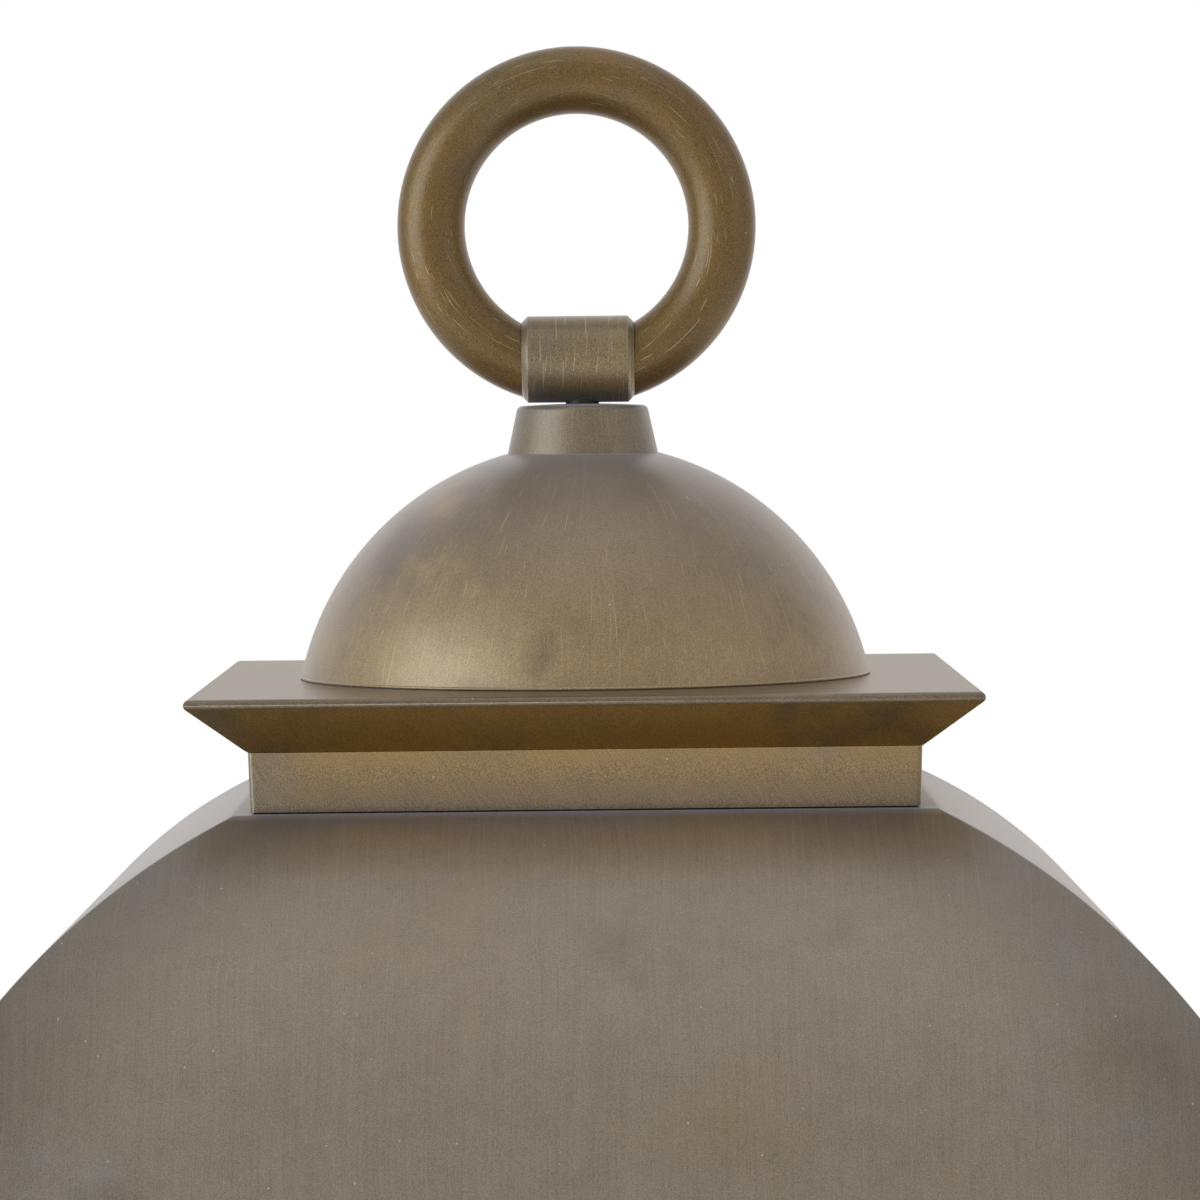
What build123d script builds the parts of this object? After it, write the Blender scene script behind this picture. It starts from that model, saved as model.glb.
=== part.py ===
from build123d import *
import math
import os

# Outdoor wall lantern with a domed square roof and a ring finial, in millimetres.
# X runs to the right as seen from the front, Y into the wall and Z up.
# The origin is the middle of the fixing strap, on the face of the wall.

# Places that the rest hangs on
reach = 158.0               # from the wall to the upright axis of the lantern
cornice_top = 235.0         # flat top of the cornice above the fixing
running_gap = 0.05          # radial play of a shaft, pin or screw in its hole
loose_gap = 0.4             # radial play round a piece that only passes through

# Ring finial
ring_bar_r = 6.05
ring_bend_r = 26.1          # to the middle of the bar
bar_entry = 0.5             # the bar's middle meets the sleeve's axis this far outside its mouth
bar_socket = 1.0            # how deep the full bar sits in the sleeve
tenon_r = 4.0
tenon_len = 3.6
sleeve_r = 7.75
sleeve_len = 20.1
sleeve_bevel = 1.1
sleeve_shift = -0.7         # the threaded hole is this much off the middle of the sleeve
thread_pitch = 1.0
thread_turns = 8.0          # turns that free the finial

# Collar and dome
collar_base_r = 13.5
collar_top_r = 11.65
collar_h = 9.0
collar_crown = 0.4
collar_round = 0.7
collar_margin = 0.1         # flat of the dome that shows round the collar
finial_seam = 0.18          # thin gap between collar and sleeve
dome_r = 52.1
dome_sink = 10.4            # middle of the dome's sphere below the cornice top
dome_sheet = 1.5
seam = 0.3                  # thickness of the thin gaskets
gasket_inset = 0.6
gasket_width = 6.0

# Cornice and neck, one casting
cornice_half = 67.4
nose_r = 0.95
cornice_plate = 3.0
flare_depth = 9.6
neck_top_half = 57.3
neck_h = 10.2
neck_draft = 0.3            # the neck is this much narrower at its foot
neck_edge_r = 0.9
neck_wall = 3.0

# Roof
roof_ledge = 2.8            # flat of the roof that shows round the neck
roof_seat = 7.0             # flat of the roof under the neck
roof_arc_r = 104.8
roof_rise = 95.4
roof_sheet = 1.6

# Rim under the roof
rim_ledge = 0.8
rim_cove_r = 5.0
rim_h = 16.0
rim_wall = 3.0
rim_seat = 2.6
rim_neck_h = 7.0
soffit = 2.0
soffit_setback = 1.0        # the soffit's opening is this much wider than the rail's, each side

# Rod through the roof
rod_r = 3.0
bar_w = 20.0
bar_t = 2.5
bar_bearing = 8.0           # how far the crossbar lies on the soffit at each end
bar_hook = 4.0              # edge distance of the crossbar's screws
rod_tail = 14.0
nut_flats = 10.0
nut_h = 5.0
washer_r = 8.0
washer_h = 1.2

# Cage
cage_half = 95.0
cage_h = 225.0
post_leg = 11.0
post_t = 2.0
rail_h = 12.0
rail_flange = 14.0
rail_t = 1.6
panel_t = 1.6
panel_play = 0.2
glass_t = 3.0
glass_play = 0.4
clip_t = 0.8
clip_w = 8.0
clip_h = 9.0
clip_foot = 7.0
clip_spacing = 8.0          # from a corner screw to the clip beside it

# Small screws
screw_head_r = 2.4
screw_head_h = 1.3
screw_r = 1.3
screw_grip = 2.6            # thread beyond the sheet that a screw holds

# Door
door_gap = 0.4
door_t = 6.0
door_end_gap = 1.5
stile_w = 22.0
door_rail_w = 16.0
rebate = 3.5
door_clip_grip = 6.0        # how far a door clip reaches over the glass
door_clip_foot = 7.0
door_screw_depth = 4.0

# Hinges
hinge_offset = 70.0
hinge_h = 36.0
barrel_r = 3.0
barrel_clear = 0.35
knuckle_gap = 0.3
pin_r = 1.5
pin_head_r = 2.4
pin_head_h = 1.6
leaf_t = 1.2
post_leaf_w = 10.0
door_leaf_w = 14.0
hinge_screw_offset = 11.0

# Latch
latch_inset = 15.0          # from the door's edge to the spindle
spindle_r = 2.0
tongue_reach = 7.5
tongue_w = 6.0
tongue_t = 2.0
tongue_gap = 0.5
rose_r = 8.0
rose_h = 2.5
grip_stem_r = 3.2
grip_stem_h = 5.0
grip_len = 22.0
grip_w = 6.0
grip_h = 5.0
rivet_r = 2.8
rivet_h = 0.8

# Base
tray_ledge = 8.0            # tray beyond the cage
tray_t = 2.5
base_ledge = 2.0            # base beyond the cage
base_wall = 2.0
fascia_h = 5.0
base_step = 5.0
base_cove_r = 34.0
nipple_r = 5.0
nipple_bore_r = 3.2
nipple_grip = 12.0          # depth of the nipple in the drop finial
flange_r = 26.0
flange_h = 4.0
drop_neck_r = 8.0
drop_neck_h = 6.0
drop_ball_r = 15.0
drop_tip_r = 4.5
drop_tip_h = 6.0

# Lamp cluster
lamp_count = 3
lamp_circle_r = 36.0
hub_r = 20.0
hub_h = 15.0
hub_wall = 2.0
hub_arm_z = 7.0             # middle of the arms above the tray
arm_tube_r = 4.0
arm_bore_r = 2.8
arm_bend_r = 9.0
cup_lift = 9.0              # drip cup above the middle of the arms
cup_r = 16.0
cup_h = 5.0
cup_t = 1.2
candle_r = 10.5
candle_t = 1.0
candle_h = 70.0
socket_r = 8.5
socket_len = 46.0
socket_sink = 2.0           # socket's top below the candle's top
socket_bore_r = 6.1
arm_grip = 5.0              # arm's end inside the socket
cap_r = 5.8
cap_len = 20.0
cap_tip_r = 2.5
cap_tip_h = 1.5
cap_cone_h = 3.0
bulb_neck_r = 6.6
bulb_r = 17.5
bulb_belly_h = 29.0
bulb_h = 72.0
bulb_tip_r = 1.5
bulb_wall = 0.8
stem_r = 2.4
stem_h = 12.0
filament_count = 4
filament_r = 0.8
filament_len = 30.0
filament_circle_r = 4.5
filament_plate_h = 0.8

# Wall side
plate_w = 127.0
plate_tall = 254.0
plate_rim_d = 10.0
plate_step = 8.0
plate_raise_d = 12.0
plate_wall = 2.0
plate_edge_r = 3.0
wall_gasket_t = 2.0
wall_gasket_inset = 0.5
wall_gasket_w = 10.0
strap_clear = 0.5           # gap between the strap's ends and the foam frame
strap_w = 22.0
strap_t = 2.5
slot_margin = 8.05          # from the strap's end to the middle of a slot
slot_len = 9.0
slot_r = 2.5
strap_hole_r = 5.2
stud_offset = 26.0
stud_r = 2.5
cap_nut_flats = 9.0
cap_nut_hex_h = 4.5
cap_nut_dome_r = 4.2
cap_nut_depth = 7.0
ground_offset = 13.0
ground_head_r = 3.8
arm_offset = 66.0           # middle of each wall arm above and below the fixing
arm_half = 13.0
arm_wall = 3.0
arm_edge_r = 2.0
arm_flange_half = 22.0
arm_flange_t = 4.0
arm_screw_offset = 17.5
wire_hole_r = 7.0
bushing_lip = 2.0
bushing_bore_r = 4.5
bushing_lip_t = 1.5

# Heights worked out from the values above
neck_foot_half = neck_top_half - neck_draft
crease_z = cornice_top - flare_depth
neck_foot_z = crease_z - neck_h
roof_top_z = neck_foot_z - seam
roof_spring_z = roof_top_z - roof_rise
rim_foot_z = roof_spring_z - rim_h
cage_top_z = rim_foot_z
cage_foot_z = cage_top_z - cage_h
cage_mid_z = (cage_top_z + cage_foot_z) / 2
soffit_top_z = rim_foot_z + soffit

roof_top_half = neck_foot_half + roof_ledge
roof_arc_x = roof_top_half - math.sqrt(roof_arc_r**2 - roof_rise**2)
roof_spring_half = roof_arc_x + roof_arc_r
rim_half = roof_spring_half + rim_ledge + rim_cove_r

dome_flat_r = collar_base_r + collar_margin
dome_foot_z = cornice_top + seam
dome_foot_r = math.sqrt(dome_r**2 - (dome_sink + seam) ** 2)
dome_flat_z = cornice_top - dome_sink + math.sqrt(dome_r**2 - dome_flat_r**2)
collar_top_z = dome_flat_z + collar_h
sleeve_z = collar_top_z + finial_seam + sleeve_r
ring_z = sleeve_z + math.sqrt(ring_bend_r**2 - (sleeve_len / 2 + bar_entry) ** 2)
rod_top_z = collar_top_z + thread_pitch * thread_turns
rod_hole_r = rod_r + loose_gap

rail_half = cage_half - post_t
web_inner_half = rail_half - rail_t
flange_inner_half = rail_half - rail_flange
soffit_opening_half = flange_inner_half + soffit_setback
corner_screw_along = flange_inner_half - post_leg
clip_offset = corner_screw_along - clip_spacing
lower_flange_z = cage_foot_z + rail_t
upper_flange_z = cage_top_z - rail_t
pane_outer_half = web_inner_half - panel_play
pane_inner_half = pane_outer_half - glass_t
rail_screw_half = (soffit_opening_half + pane_inner_half) / 2
panel_front_y = web_inner_half - panel_t

door_back_y = -(cage_half + door_gap)
door_front_y = door_back_y - door_t
door_foot_z = cage_foot_z + door_end_gap
door_top_z = cage_top_z - door_end_gap
hinge_x = cage_half + barrel_clear + barrel_r
hinge_y = -(cage_half + door_gap / 2)
latch_x = -(cage_half - latch_inset)
tongue_front_y = -(rail_half - tongue_gap)

tray_half = cage_half + tray_ledge
tray_foot_z = cage_foot_z - tray_t
base_half = cage_half + base_ledge
base_cove_x = base_half - base_step
base_cove_z = tray_foot_z - fascia_h - base_cove_r
base_foot_z = base_cove_z - base_wall

arm_z = cage_foot_z + hub_arm_z
cup_z = arm_z + cup_lift
candle_foot_z = cup_z + cup_t
candle_top_z = candle_foot_z + candle_h
socket_top_z = candle_top_z - socket_sink
socket_foot_z = socket_top_z - socket_len
arm_top_z = socket_foot_z + arm_grip

strap_len = plate_w - 2 * (wall_gasket_inset + wall_gasket_w + strap_clear)
slot_spacing = strap_len - 2 * slot_margin
plate_back_y = -wall_gasket_t
plate_step_y = plate_back_y - plate_rim_d
plate_front_y = plate_step_y - plate_raise_d
panel_back_y = -(reach - web_inner_half)


# Helpers
def block(x0, x1, y0, y1, z0, z1):
    """Box between two corners."""
    middle = Pos((x0 + x1) / 2, (y0 + y1) / 2, (z0 + z1) / 2)
    return middle * Box(abs(x1 - x0), abs(y1 - y0), abs(z1 - z0))


def square_block(half, z0, z1):
    """Box of square plan, centred on the lantern's axis."""
    return block(-half, half, -half, half, z0, z1)


def disc(radius, z0, z1):
    """Upright cylinder on the axis."""
    return Pos(0, 0, (z0 + z1) / 2) * Cylinder(radius, abs(z1 - z0))


def aimed(shape, point, direction):
    """Shape drawn up +Z from the origin, set at a point and turned to a direction."""
    return Plane(origin=point, z_dir=direction) * shape


def four_sided(*edges):
    """Solid with one outline on all four sides, mitred at the corners.

    The edges run from the axis at the top to the axis at the foot, half-width against height.
    """
    right = Curve() + list(edges)
    outline = Plane.XZ * make_face(right + mirror(right, about=Plane.YZ))
    across = extrude(outline, amount=2 * outline.bounding_box().max.X, both=True)
    return across & (Rot(0, 0, 90) * across)


def turned(*edges):
    """Solid turned about the axis from edges that close a half section."""
    return revolve(Plane.XZ * make_face(Curve() + list(edges)), axis=Axis.Z)


def turned_outline(*points):
    """Solid turned about the axis from the corners of a half section."""
    return turned(Polyline(*points, close=True))


def all_round(shape, count, start=0.0):
    """Copies of a shape at even turns about the axis."""
    return [Rot(0, 0, start + turn * 360 / count) * shape for turn in range(count)]


def on_axis(shape):
    """Shape drawn about the lantern's axis, set at its distance from the wall."""
    return Pos(0, -reach, 0) * shape


def group(shapes):
    """Separate solids that share one node."""
    return Compound(children=[solid for shape in shapes for solid in shape.solids()])


def screw(length, head_r=screw_head_r, head_h=screw_head_h, shank_r=screw_r):
    """Slotted round-head screw, head above the origin and shank below it."""
    head = disc(head_r, 0, head_h)
    head = fillet(head.faces().sort_by(Axis.Z)[-1].edges(), head_h * 0.6)
    slot = block(-head_r, head_r, -head_h / 5, head_h / 5, head_h / 2, head_h)
    return head + disc(shank_r, -length, 0) - slot


def hole(length, radius=screw_r + running_gap):
    """Tool for a screw's hole, below the origin and a little above it."""
    return disc(radius, -length, 1.0)


def hex_nut(flats, height, bore_r):
    """Hexagon nut standing on the origin."""
    body = extrude(RegularPolygon(flats / 2, 6, major_radius=False), height)
    crown = disc(flats * 0.56, 0, height)
    crown = chamfer(crown.edges(), height * 0.12)
    return (body & crown) - disc(bore_r, 0, height)


# Finial
def torus_bar(radius):
    """Full ring of round bar, upright in the plane of the lantern's front."""
    return Pos(sleeve_shift, 0, ring_z) * Rot(90, 0, 0) * Torus(ring_bend_r, radius)


def finial_ring():
    """Bent bar whose two thinned ends sit in the sleeve."""
    end = sleeve_len / 2 - bar_socket
    deep = 2 * ring_bar_r
    gap = block(sleeve_shift - end, sleeve_shift + end, -deep, deep, sleeve_z - deep, ring_z)
    ring = torus_bar(ring_bar_r) - gap
    for side in (-1, 1):
        start = sleeve_shift + side * (end - tenon_len)
        length = tenon_len + bar_socket / 2
        ring += aimed(disc(tenon_r, 0, length), (start, 0, sleeve_z), (side, 0, 0))
    return ring


def ring_sleeve():
    """Barrel that grips both ends of the ring and screws on the rod."""
    barrel = Rot(0, 90, 0) * disc(sleeve_r, -sleeve_len / 2, sleeve_len / 2)
    ends = barrel.edges().filter_by(GeomType.CIRCLE)
    barrel = Pos(sleeve_shift, 0, sleeve_z) * chamfer(ends, sleeve_bevel)
    end = sleeve_len / 2 - bar_socket
    tall = 2 * sleeve_r
    for side in (-1, 1):
        mouth = sleeve_shift + side * sleeve_len
        floor = sleeve_shift + side * (end - running_gap)
        beyond = block(floor, mouth, -tall, tall, sleeve_z - tall, sleeve_z + tall)
        barrel -= torus_bar(ring_bar_r + running_gap) & beyond
        start = sleeve_shift + side * (end - tenon_len - running_gap)
        bore = disc(tenon_r + running_gap, 0, tenon_len + bar_socket)
        barrel -= aimed(bore, (start, 0, sleeve_z), (side, 0, 0))
    thread = disc(rod_r + running_gap, sleeve_z - tall, rod_top_z + running_gap * 4)
    return barrel - thread


def collar():
    """Conical collar with a slightly crowned top and a rounded top edge."""
    edge = (collar_top_r, collar_top_z - collar_crown)
    crown = TangentArc((0, collar_top_z), edge, tangent=(1, 0))
    side = Polyline(edge, (collar_base_r, dome_flat_z), (0, dome_flat_z), (0, collar_top_z))
    section = make_face(Curve() + [crown, side])
    section = fillet(section.vertices().sort_by_distance(edge)[0], collar_round)
    body = revolve(Plane.XZ * section, axis=Axis.Z)
    return body - disc(rod_hole_r, dome_flat_z, collar_top_z)


# Dome
def dome_outline(radius, foot_z, top_z):
    """Half section of a ball cut flat at the foot and at the top."""
    middle = (0, cornice_top - dome_sink)
    foot_angle = math.degrees(math.asin((foot_z - middle[1]) / radius))
    top_angle = math.degrees(math.asin((top_z - middle[1]) / radius))
    arc = CenterArc(middle, radius, foot_angle, top_angle - foot_angle)
    ends = Polyline(arc @ 1, (0, top_z), (0, foot_z), arc @ 0)
    return turned(arc, ends)


def dome_cap():
    """Spun dome with a flat for the collar, open at the foot."""
    shell = dome_outline(dome_r, dome_foot_z, dome_flat_z)
    shell -= dome_outline(dome_r - dome_sheet, dome_foot_z, dome_flat_z - dome_sheet)
    return shell - disc(rod_hole_r, cornice_top, dome_flat_z + 1)


def dome_gasket():
    """Flat ring that seals the dome on the cornice."""
    outer = dome_foot_r - gasket_inset
    return disc(outer, cornice_top, dome_foot_z) - disc(outer - gasket_width, cornice_top, dome_foot_z)


# Cornice
def cornice():
    """Square plate with a round nose, sloping underside and short neck, cast hollow."""
    nose = (cornice_half - nose_r, cornice_top - nose_r)
    to_crease = (neck_top_half - nose[0], crease_z - nose[1])
    turn = math.degrees(math.acos(nose_r / math.hypot(*to_crease)))
    touch = math.degrees(math.atan2(to_crease[1], to_crease[0])) + turn
    arc = CenterArc(nose, nose_r, touch, 90 - touch)
    top = Line((0, cornice_top), arc @ 1)
    under = Polyline(arc @ 0, (neck_top_half, crease_z), (0, crease_z))
    body = four_sided(top, arc, under)
    head = Pos(0, 0, crease_z) * RectangleRounded(2 * neck_top_half, 2 * neck_top_half, neck_edge_r)
    foot = Pos(0, 0, neck_foot_z) * RectangleRounded(2 * neck_foot_half, 2 * neck_foot_half, neck_edge_r)
    body += loft([head, foot])
    body -= square_block(neck_foot_half - neck_wall, neck_foot_z, cornice_top - cornice_plate)
    return body - disc(rod_hole_r, crease_z, cornice_top + 1)


def neck_gasket():
    """Square seal between the neck and the roof."""
    outer = square_block(neck_foot_half - gasket_inset, roof_top_z, neck_foot_z)
    return outer - square_block(neck_foot_half - gasket_inset - gasket_width, roof_top_z, neck_foot_z)


# Roof
def roof_outline(inset):
    """Domed four-sided solid, its faces moved in by a sheet thickness."""
    radius = roof_arc_r - inset
    rise = roof_rise - inset
    arc = CenterArc((roof_arc_x, roof_spring_z), radius, 0, math.degrees(math.asin(rise / radius)))
    top = Line((0, roof_spring_z + rise), arc @ 1)
    foot = Line(arc @ 0, (0, roof_spring_z))
    return four_sided(top, arc, foot)


def roof_shell():
    """Four round-backed sheets that meet at the hips, open below and under the neck."""
    shell = roof_outline(0) - roof_outline(roof_sheet)
    opening_half = neck_foot_half - roof_seat
    shell -= square_block(opening_half, roof_top_z - 2 * roof_sheet, roof_top_z + 1)
    quarter = Polyline((0, 0), (rim_half, -rim_half), (rim_half, rim_half), close=True)
    wedge = Pos(0, 0, roof_spring_z) * extrude(make_face(quarter), roof_rise)
    return group(shell & corner for corner in all_round(wedge, 4))


def roof_rim():
    """Coved rim that carries the roof and closes it down to the cage."""
    cove = CenterArc((rim_half, roof_spring_z), rim_cove_r, 180, 90)
    top = Line((0, roof_spring_z), cove @ 0)
    side = Polyline(cove @ 1, (rim_half, rim_foot_z), (0, rim_foot_z))
    body = four_sided(top, cove, side)
    neck_half = roof_spring_half - rim_seat
    body -= square_block(neck_half, soffit_top_z, roof_spring_z)
    body -= square_block(rim_half - rim_wall, soffit_top_z, roof_spring_z - rim_neck_h)
    body -= square_block(soffit_opening_half, rim_foot_z, soffit_top_z)
    for x, y, z in roof_screw_points() + crossbar_screw_points():
        body -= aimed(hole(soffit), (x, y, soffit_top_z), (0, 0, 1))
    return body


# Rod and crossbar
def crossbar_half():
    """Half length of the crossbar."""
    return soffit_opening_half + bar_bearing


def crossbar_screw_points():
    """Where the crossbar is screwed to the soffit."""
    return [(side * (crossbar_half() - bar_hook), 0, soffit_top_z + bar_t) for side in (-1, 1)]


def crossbar():
    """Flat bar across the opening that the rod is bolted to."""
    half = crossbar_half()
    bar = block(-half, half, -bar_w / 2, bar_w / 2, soffit_top_z, soffit_top_z + bar_t)
    bar -= disc(rod_hole_r, soffit_top_z, soffit_top_z + bar_t)
    for point in crossbar_screw_points():
        bar -= aimed(hole(bar_t), point, (0, 0, 1))
    return bar


def crossbar_screws():
    """Two screws through the crossbar into the soffit."""
    return group(aimed(screw(bar_t + soffit), point, (0, 0, 1)) for point in crossbar_screw_points())


def centre_rod():
    """Threaded rod that pulls the whole roof together."""
    rod = disc(rod_r, soffit_top_z - rod_tail, rod_top_z)
    return chamfer(rod.edges().filter_by(GeomType.CIRCLE), rod_r / 5)


def rod_washers():
    """Washers on both faces of the crossbar."""
    ring = disc(washer_r, 0, washer_h) - disc(rod_hole_r, 0, washer_h)
    return group([Pos(0, 0, soffit_top_z + bar_t) * ring, Pos(0, 0, soffit_top_z - washer_h) * ring])


def rod_nuts():
    """Nuts that clamp the rod to the crossbar."""
    nut = hex_nut(nut_flats, nut_h, rod_r + running_gap)
    upper = Pos(0, 0, soffit_top_z + bar_t + washer_h) * nut
    return group([upper, Pos(0, 0, soffit_top_z - washer_h - nut_h) * nut])


# Cage
def rail_frame(flange_z, web_z0, web_z1):
    """Square rail of angle section, its flange at one end of its web."""
    web = square_block(rail_half, web_z0, web_z1) - square_block(web_inner_half, web_z0, web_z1)
    plate = square_block(rail_half, flange_z, flange_z + rail_t)
    return web + (plate - square_block(flange_inner_half, flange_z, flange_z + rail_t))


def corner_screw_points(z):
    """Four places on a rail's flange, near its corners."""
    return [
        (side * rail_screw_half, end * corner_screw_along, z) for side in (-1, 1) for end in (-1, 1)
    ]


def roof_screw_points():
    """Screws from inside the cage up into the soffit."""
    return corner_screw_points(upper_flange_z)


def base_screw_points():
    """Screws from inside the cage down into the tray."""
    return corner_screw_points(lower_flange_z)


def post_screw_points(side):
    """Screws through the posts' side legs into the rails, for one side of the cage."""
    x = side * cage_half
    y = cage_half - post_leg / 2
    heights = (cage_foot_z + rail_h / 2, cage_top_z - rail_h / 2)
    return [(x, end * y, z) for end in (-1, 1) for z in heights]


def panel_screw_points():
    """Screws through the rails' back webs into the back panel."""
    heights = (cage_foot_z + rail_h / 2, cage_top_z - rail_h / 2)
    return [(side * clip_offset, rail_half, z) for side in (-1, 1) for z in heights]


def clip_points():
    """Foot of each pane clip: place on the flange, side of the cage and way it stands up."""
    x = pane_inner_half - clip_t - clip_foot / 2
    ends = ((lower_flange_z, 1), (upper_flange_z, -1))
    return [(side, y, z, up, x) for side in (-1, 1) for y in (-clip_offset, clip_offset) for z, up in ends]


def frame_holes(frame, z_is_top):
    """Cuts the screw holes that a rail frame needs."""
    flange_points = roof_screw_points() if z_is_top else base_screw_points()
    for x, y, z in flange_points:
        frame -= Pos(x, y, z) * disc(screw_r + running_gap, -2 * rail_t, 2 * rail_t)
    for side in (-1, 1):
        for point in post_screw_points(side):
            frame -= aimed(hole(post_t + rail_t), point, (side, 0, 0))
    for point in panel_screw_points():
        frame -= aimed(hole(rail_t), point, (0, 1, 0))
    for side, y, z, up, x in clip_points():
        frame -= Pos(side * x, y, z) * disc(screw_r + running_gap, -2 * rail_t, 2 * rail_t)
    return frame


def top_frame():
    """Upper rail of the cage."""
    return frame_holes(rail_frame(upper_flange_z, cage_top_z - rail_h, cage_top_z), True)


def bottom_frame():
    """Lower rail of the cage."""
    return frame_holes(rail_frame(cage_foot_z, cage_foot_z, cage_foot_z + rail_h), False)


def corner_posts():
    """Four angle posts outside the rails."""
    outer = square_block(cage_half, cage_foot_z, cage_top_z)
    walls = outer - square_block(rail_half, cage_foot_z, cage_top_z)
    gap = cage_half - post_leg
    wide = 2 * cage_half
    walls -= block(-gap, gap, -wide, wide, cage_foot_z, cage_top_z)
    walls -= block(-wide, wide, -gap, gap, cage_foot_z, cage_top_z)
    for side in (-1, 1):
        for point in post_screw_points(side):
            walls -= aimed(hole(post_t), point, (side, 0, 0))
    for point in post_leaf_screws():
        walls -= aimed(hole(post_t + leaf_t), point, (1, 0, 0))
    return group(walls.solids())


def frame_screws():
    """Screws that join posts, rails and back panel."""
    sides = [
        aimed(screw(post_t + rail_t), point, (side, 0, 0))
        for side in (-1, 1)
        for point in post_screw_points(side)
    ]
    back = [aimed(screw(rail_t + panel_t), point, (0, 1, 0)) for point in panel_screw_points()]
    return group(sides + back)


def roof_screws():
    """Screws that hold the roof on the cage."""
    return group(aimed(screw(rail_t + soffit), point, (0, 0, -1)) for point in roof_screw_points())


def base_screws():
    """Screws that hold the base on the cage."""
    return group(aimed(screw(rail_t + tray_t), point, (0, 0, 1)) for point in base_screw_points())


def back_panel():
    """Sheet that closes the back of the cage and carries the wall arms."""
    low = lower_flange_z + glass_play
    high = upper_flange_z - glass_play
    sheet = block(-pane_outer_half, pane_outer_half, panel_front_y, web_inner_half, low, high)
    for point in panel_screw_points():
        sheet -= aimed(hole(rail_t + panel_t), point, (0, 1, 0))
    sheet = on_axis(sheet)
    for x, z in arm_screw_places():
        sheet -= aimed(hole(panel_t), (x, panel_back_y - panel_t, z), (0, -1, 0))
    wire = disc(wire_hole_r, -2 * panel_t, 2 * panel_t)
    return sheet - aimed(wire, (0, panel_back_y, -arm_offset), (0, 1, 0))


def side_glass(side):
    """One side pane, between the rails."""
    low = lower_flange_z + glass_play
    high = upper_flange_z - glass_play
    front = -(web_inner_half - glass_play)
    back = panel_front_y - glass_play
    return block(side * pane_outer_half, side * pane_inner_half, front, back, low, high)


def glass_clips():
    """Bent clips that hold the side panes against the rails."""
    clips = []
    for side, y, z, up, x in clip_points():
        face = side * pane_inner_half
        inner = side * (pane_inner_half - clip_t)
        end = side * (pane_inner_half - clip_t - clip_foot)
        stand = block(face, inner, y - clip_w / 2, y + clip_w / 2, z, z + up * clip_h)
        foot = block(inner, end, y - clip_w / 2, y + clip_w / 2, z, z + up * clip_t)
        foot -= Pos(side * x, y, z) * disc(screw_r + running_gap, -2 * clip_t, 2 * clip_t)
        clips.append(stand + foot)
    return group(clips)


def glass_clip_screws():
    """One screw for each pane clip."""
    return group(
        aimed(screw(clip_t + rail_t), (side * x, y, z + up * clip_t), (0, 0, up))
        for side, y, z, up, x in clip_points()
    )


# Door
def door_frame():
    """Flat framed door that lies over the front posts."""
    frame = block(-cage_half, cage_half, door_front_y, door_back_y, door_foot_z, door_top_z)
    half = cage_half - stile_w
    low = door_foot_z + door_rail_w
    high = door_top_z - door_rail_w
    frame -= block(-half, half, door_front_y, door_back_y, low, high)
    wide = half + rebate
    frame -= block(-wide, wide, door_back_y - glass_t, door_back_y, low - rebate, high + rebate)
    for point in door_clip_screw_points():
        frame -= aimed(hole(door_screw_depth), point, (0, 1, 0))
    for point in door_leaf_screws():
        frame -= aimed(hole(door_screw_depth + leaf_t), point, (0, -1, 0))
    spindle_hole = disc(spindle_r + running_gap, -2 * door_t, 2 * door_t)
    return frame - aimed(spindle_hole, (latch_x, door_back_y, cage_mid_z), (0, 1, 0))


def door_glass():
    """Pane in the rebate of the door."""
    half = cage_half - stile_w + rebate - panel_play
    low = door_foot_z + door_rail_w - rebate + panel_play
    high = door_top_z - door_rail_w + rebate - panel_play
    return block(-half, half, door_back_y - glass_t, door_back_y, low, high)


def door_clip_screw_points():
    """Screw of each door clip, on the back of the stiles."""
    x = cage_half - stile_w + rebate + door_clip_foot / 2
    heights = (cage_mid_z - clip_offset, cage_mid_z + clip_offset)
    return [(side * x, door_back_y, z) for side in (-1, 1) for z in heights]


def door_clips():
    """Flat clips that hold the door's glass in its rebate."""
    clips = []
    for x, y, z in door_clip_screw_points():
        side = math.copysign(1, x)
        outer = x + side * door_clip_foot / 2
        inner = outer - side * (door_clip_foot + door_clip_grip)
        clip = block(inner, outer, y, y + clip_t, z - clip_w / 2, z + clip_w / 2)
        clips.append(clip - aimed(hole(clip_t), (x, y + clip_t, z), (0, 1, 0)))
    return group(clips)


def door_clip_screws():
    """One screw for each door clip."""
    return group(
        aimed(screw(door_screw_depth + clip_t), (x, y + clip_t, z), (0, 1, 0))
        for x, y, z in door_clip_screw_points()
    )


# Hinges
def hinge_heights():
    """Middle of each hinge."""
    return [cage_mid_z - hinge_offset, cage_mid_z + hinge_offset]


def knuckle_limits(z, number):
    """Ends of one of the three knuckles of a hinge, with play between them."""
    knuckle = hinge_h / 3
    low = z - hinge_h / 2 + number * knuckle
    return low + knuckle_gap / 2, low + knuckle - knuckle_gap / 2


def knuckle(z, number):
    """One barrel of a hinge, on the hinge's axis."""
    low, high = knuckle_limits(z, number)
    barrel = disc(barrel_r, low, high) - disc(pin_r + running_gap, low, high)
    return Pos(hinge_x, hinge_y, 0) * barrel


def pin_bore(z):
    """Tool that keeps a hinge's bore clear."""
    return Pos(hinge_x, hinge_y, 0) * disc(pin_r + running_gap, z - hinge_h, z + hinge_h)


def post_leaf_screws():
    """Screws of the leaves on the post."""
    y = hinge_y + barrel_r + (post_leaf_w - barrel_r) / 2
    x = cage_half + leaf_t
    return [(x, y, z + dz) for z in hinge_heights() for dz in (-hinge_screw_offset, hinge_screw_offset)]


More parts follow.
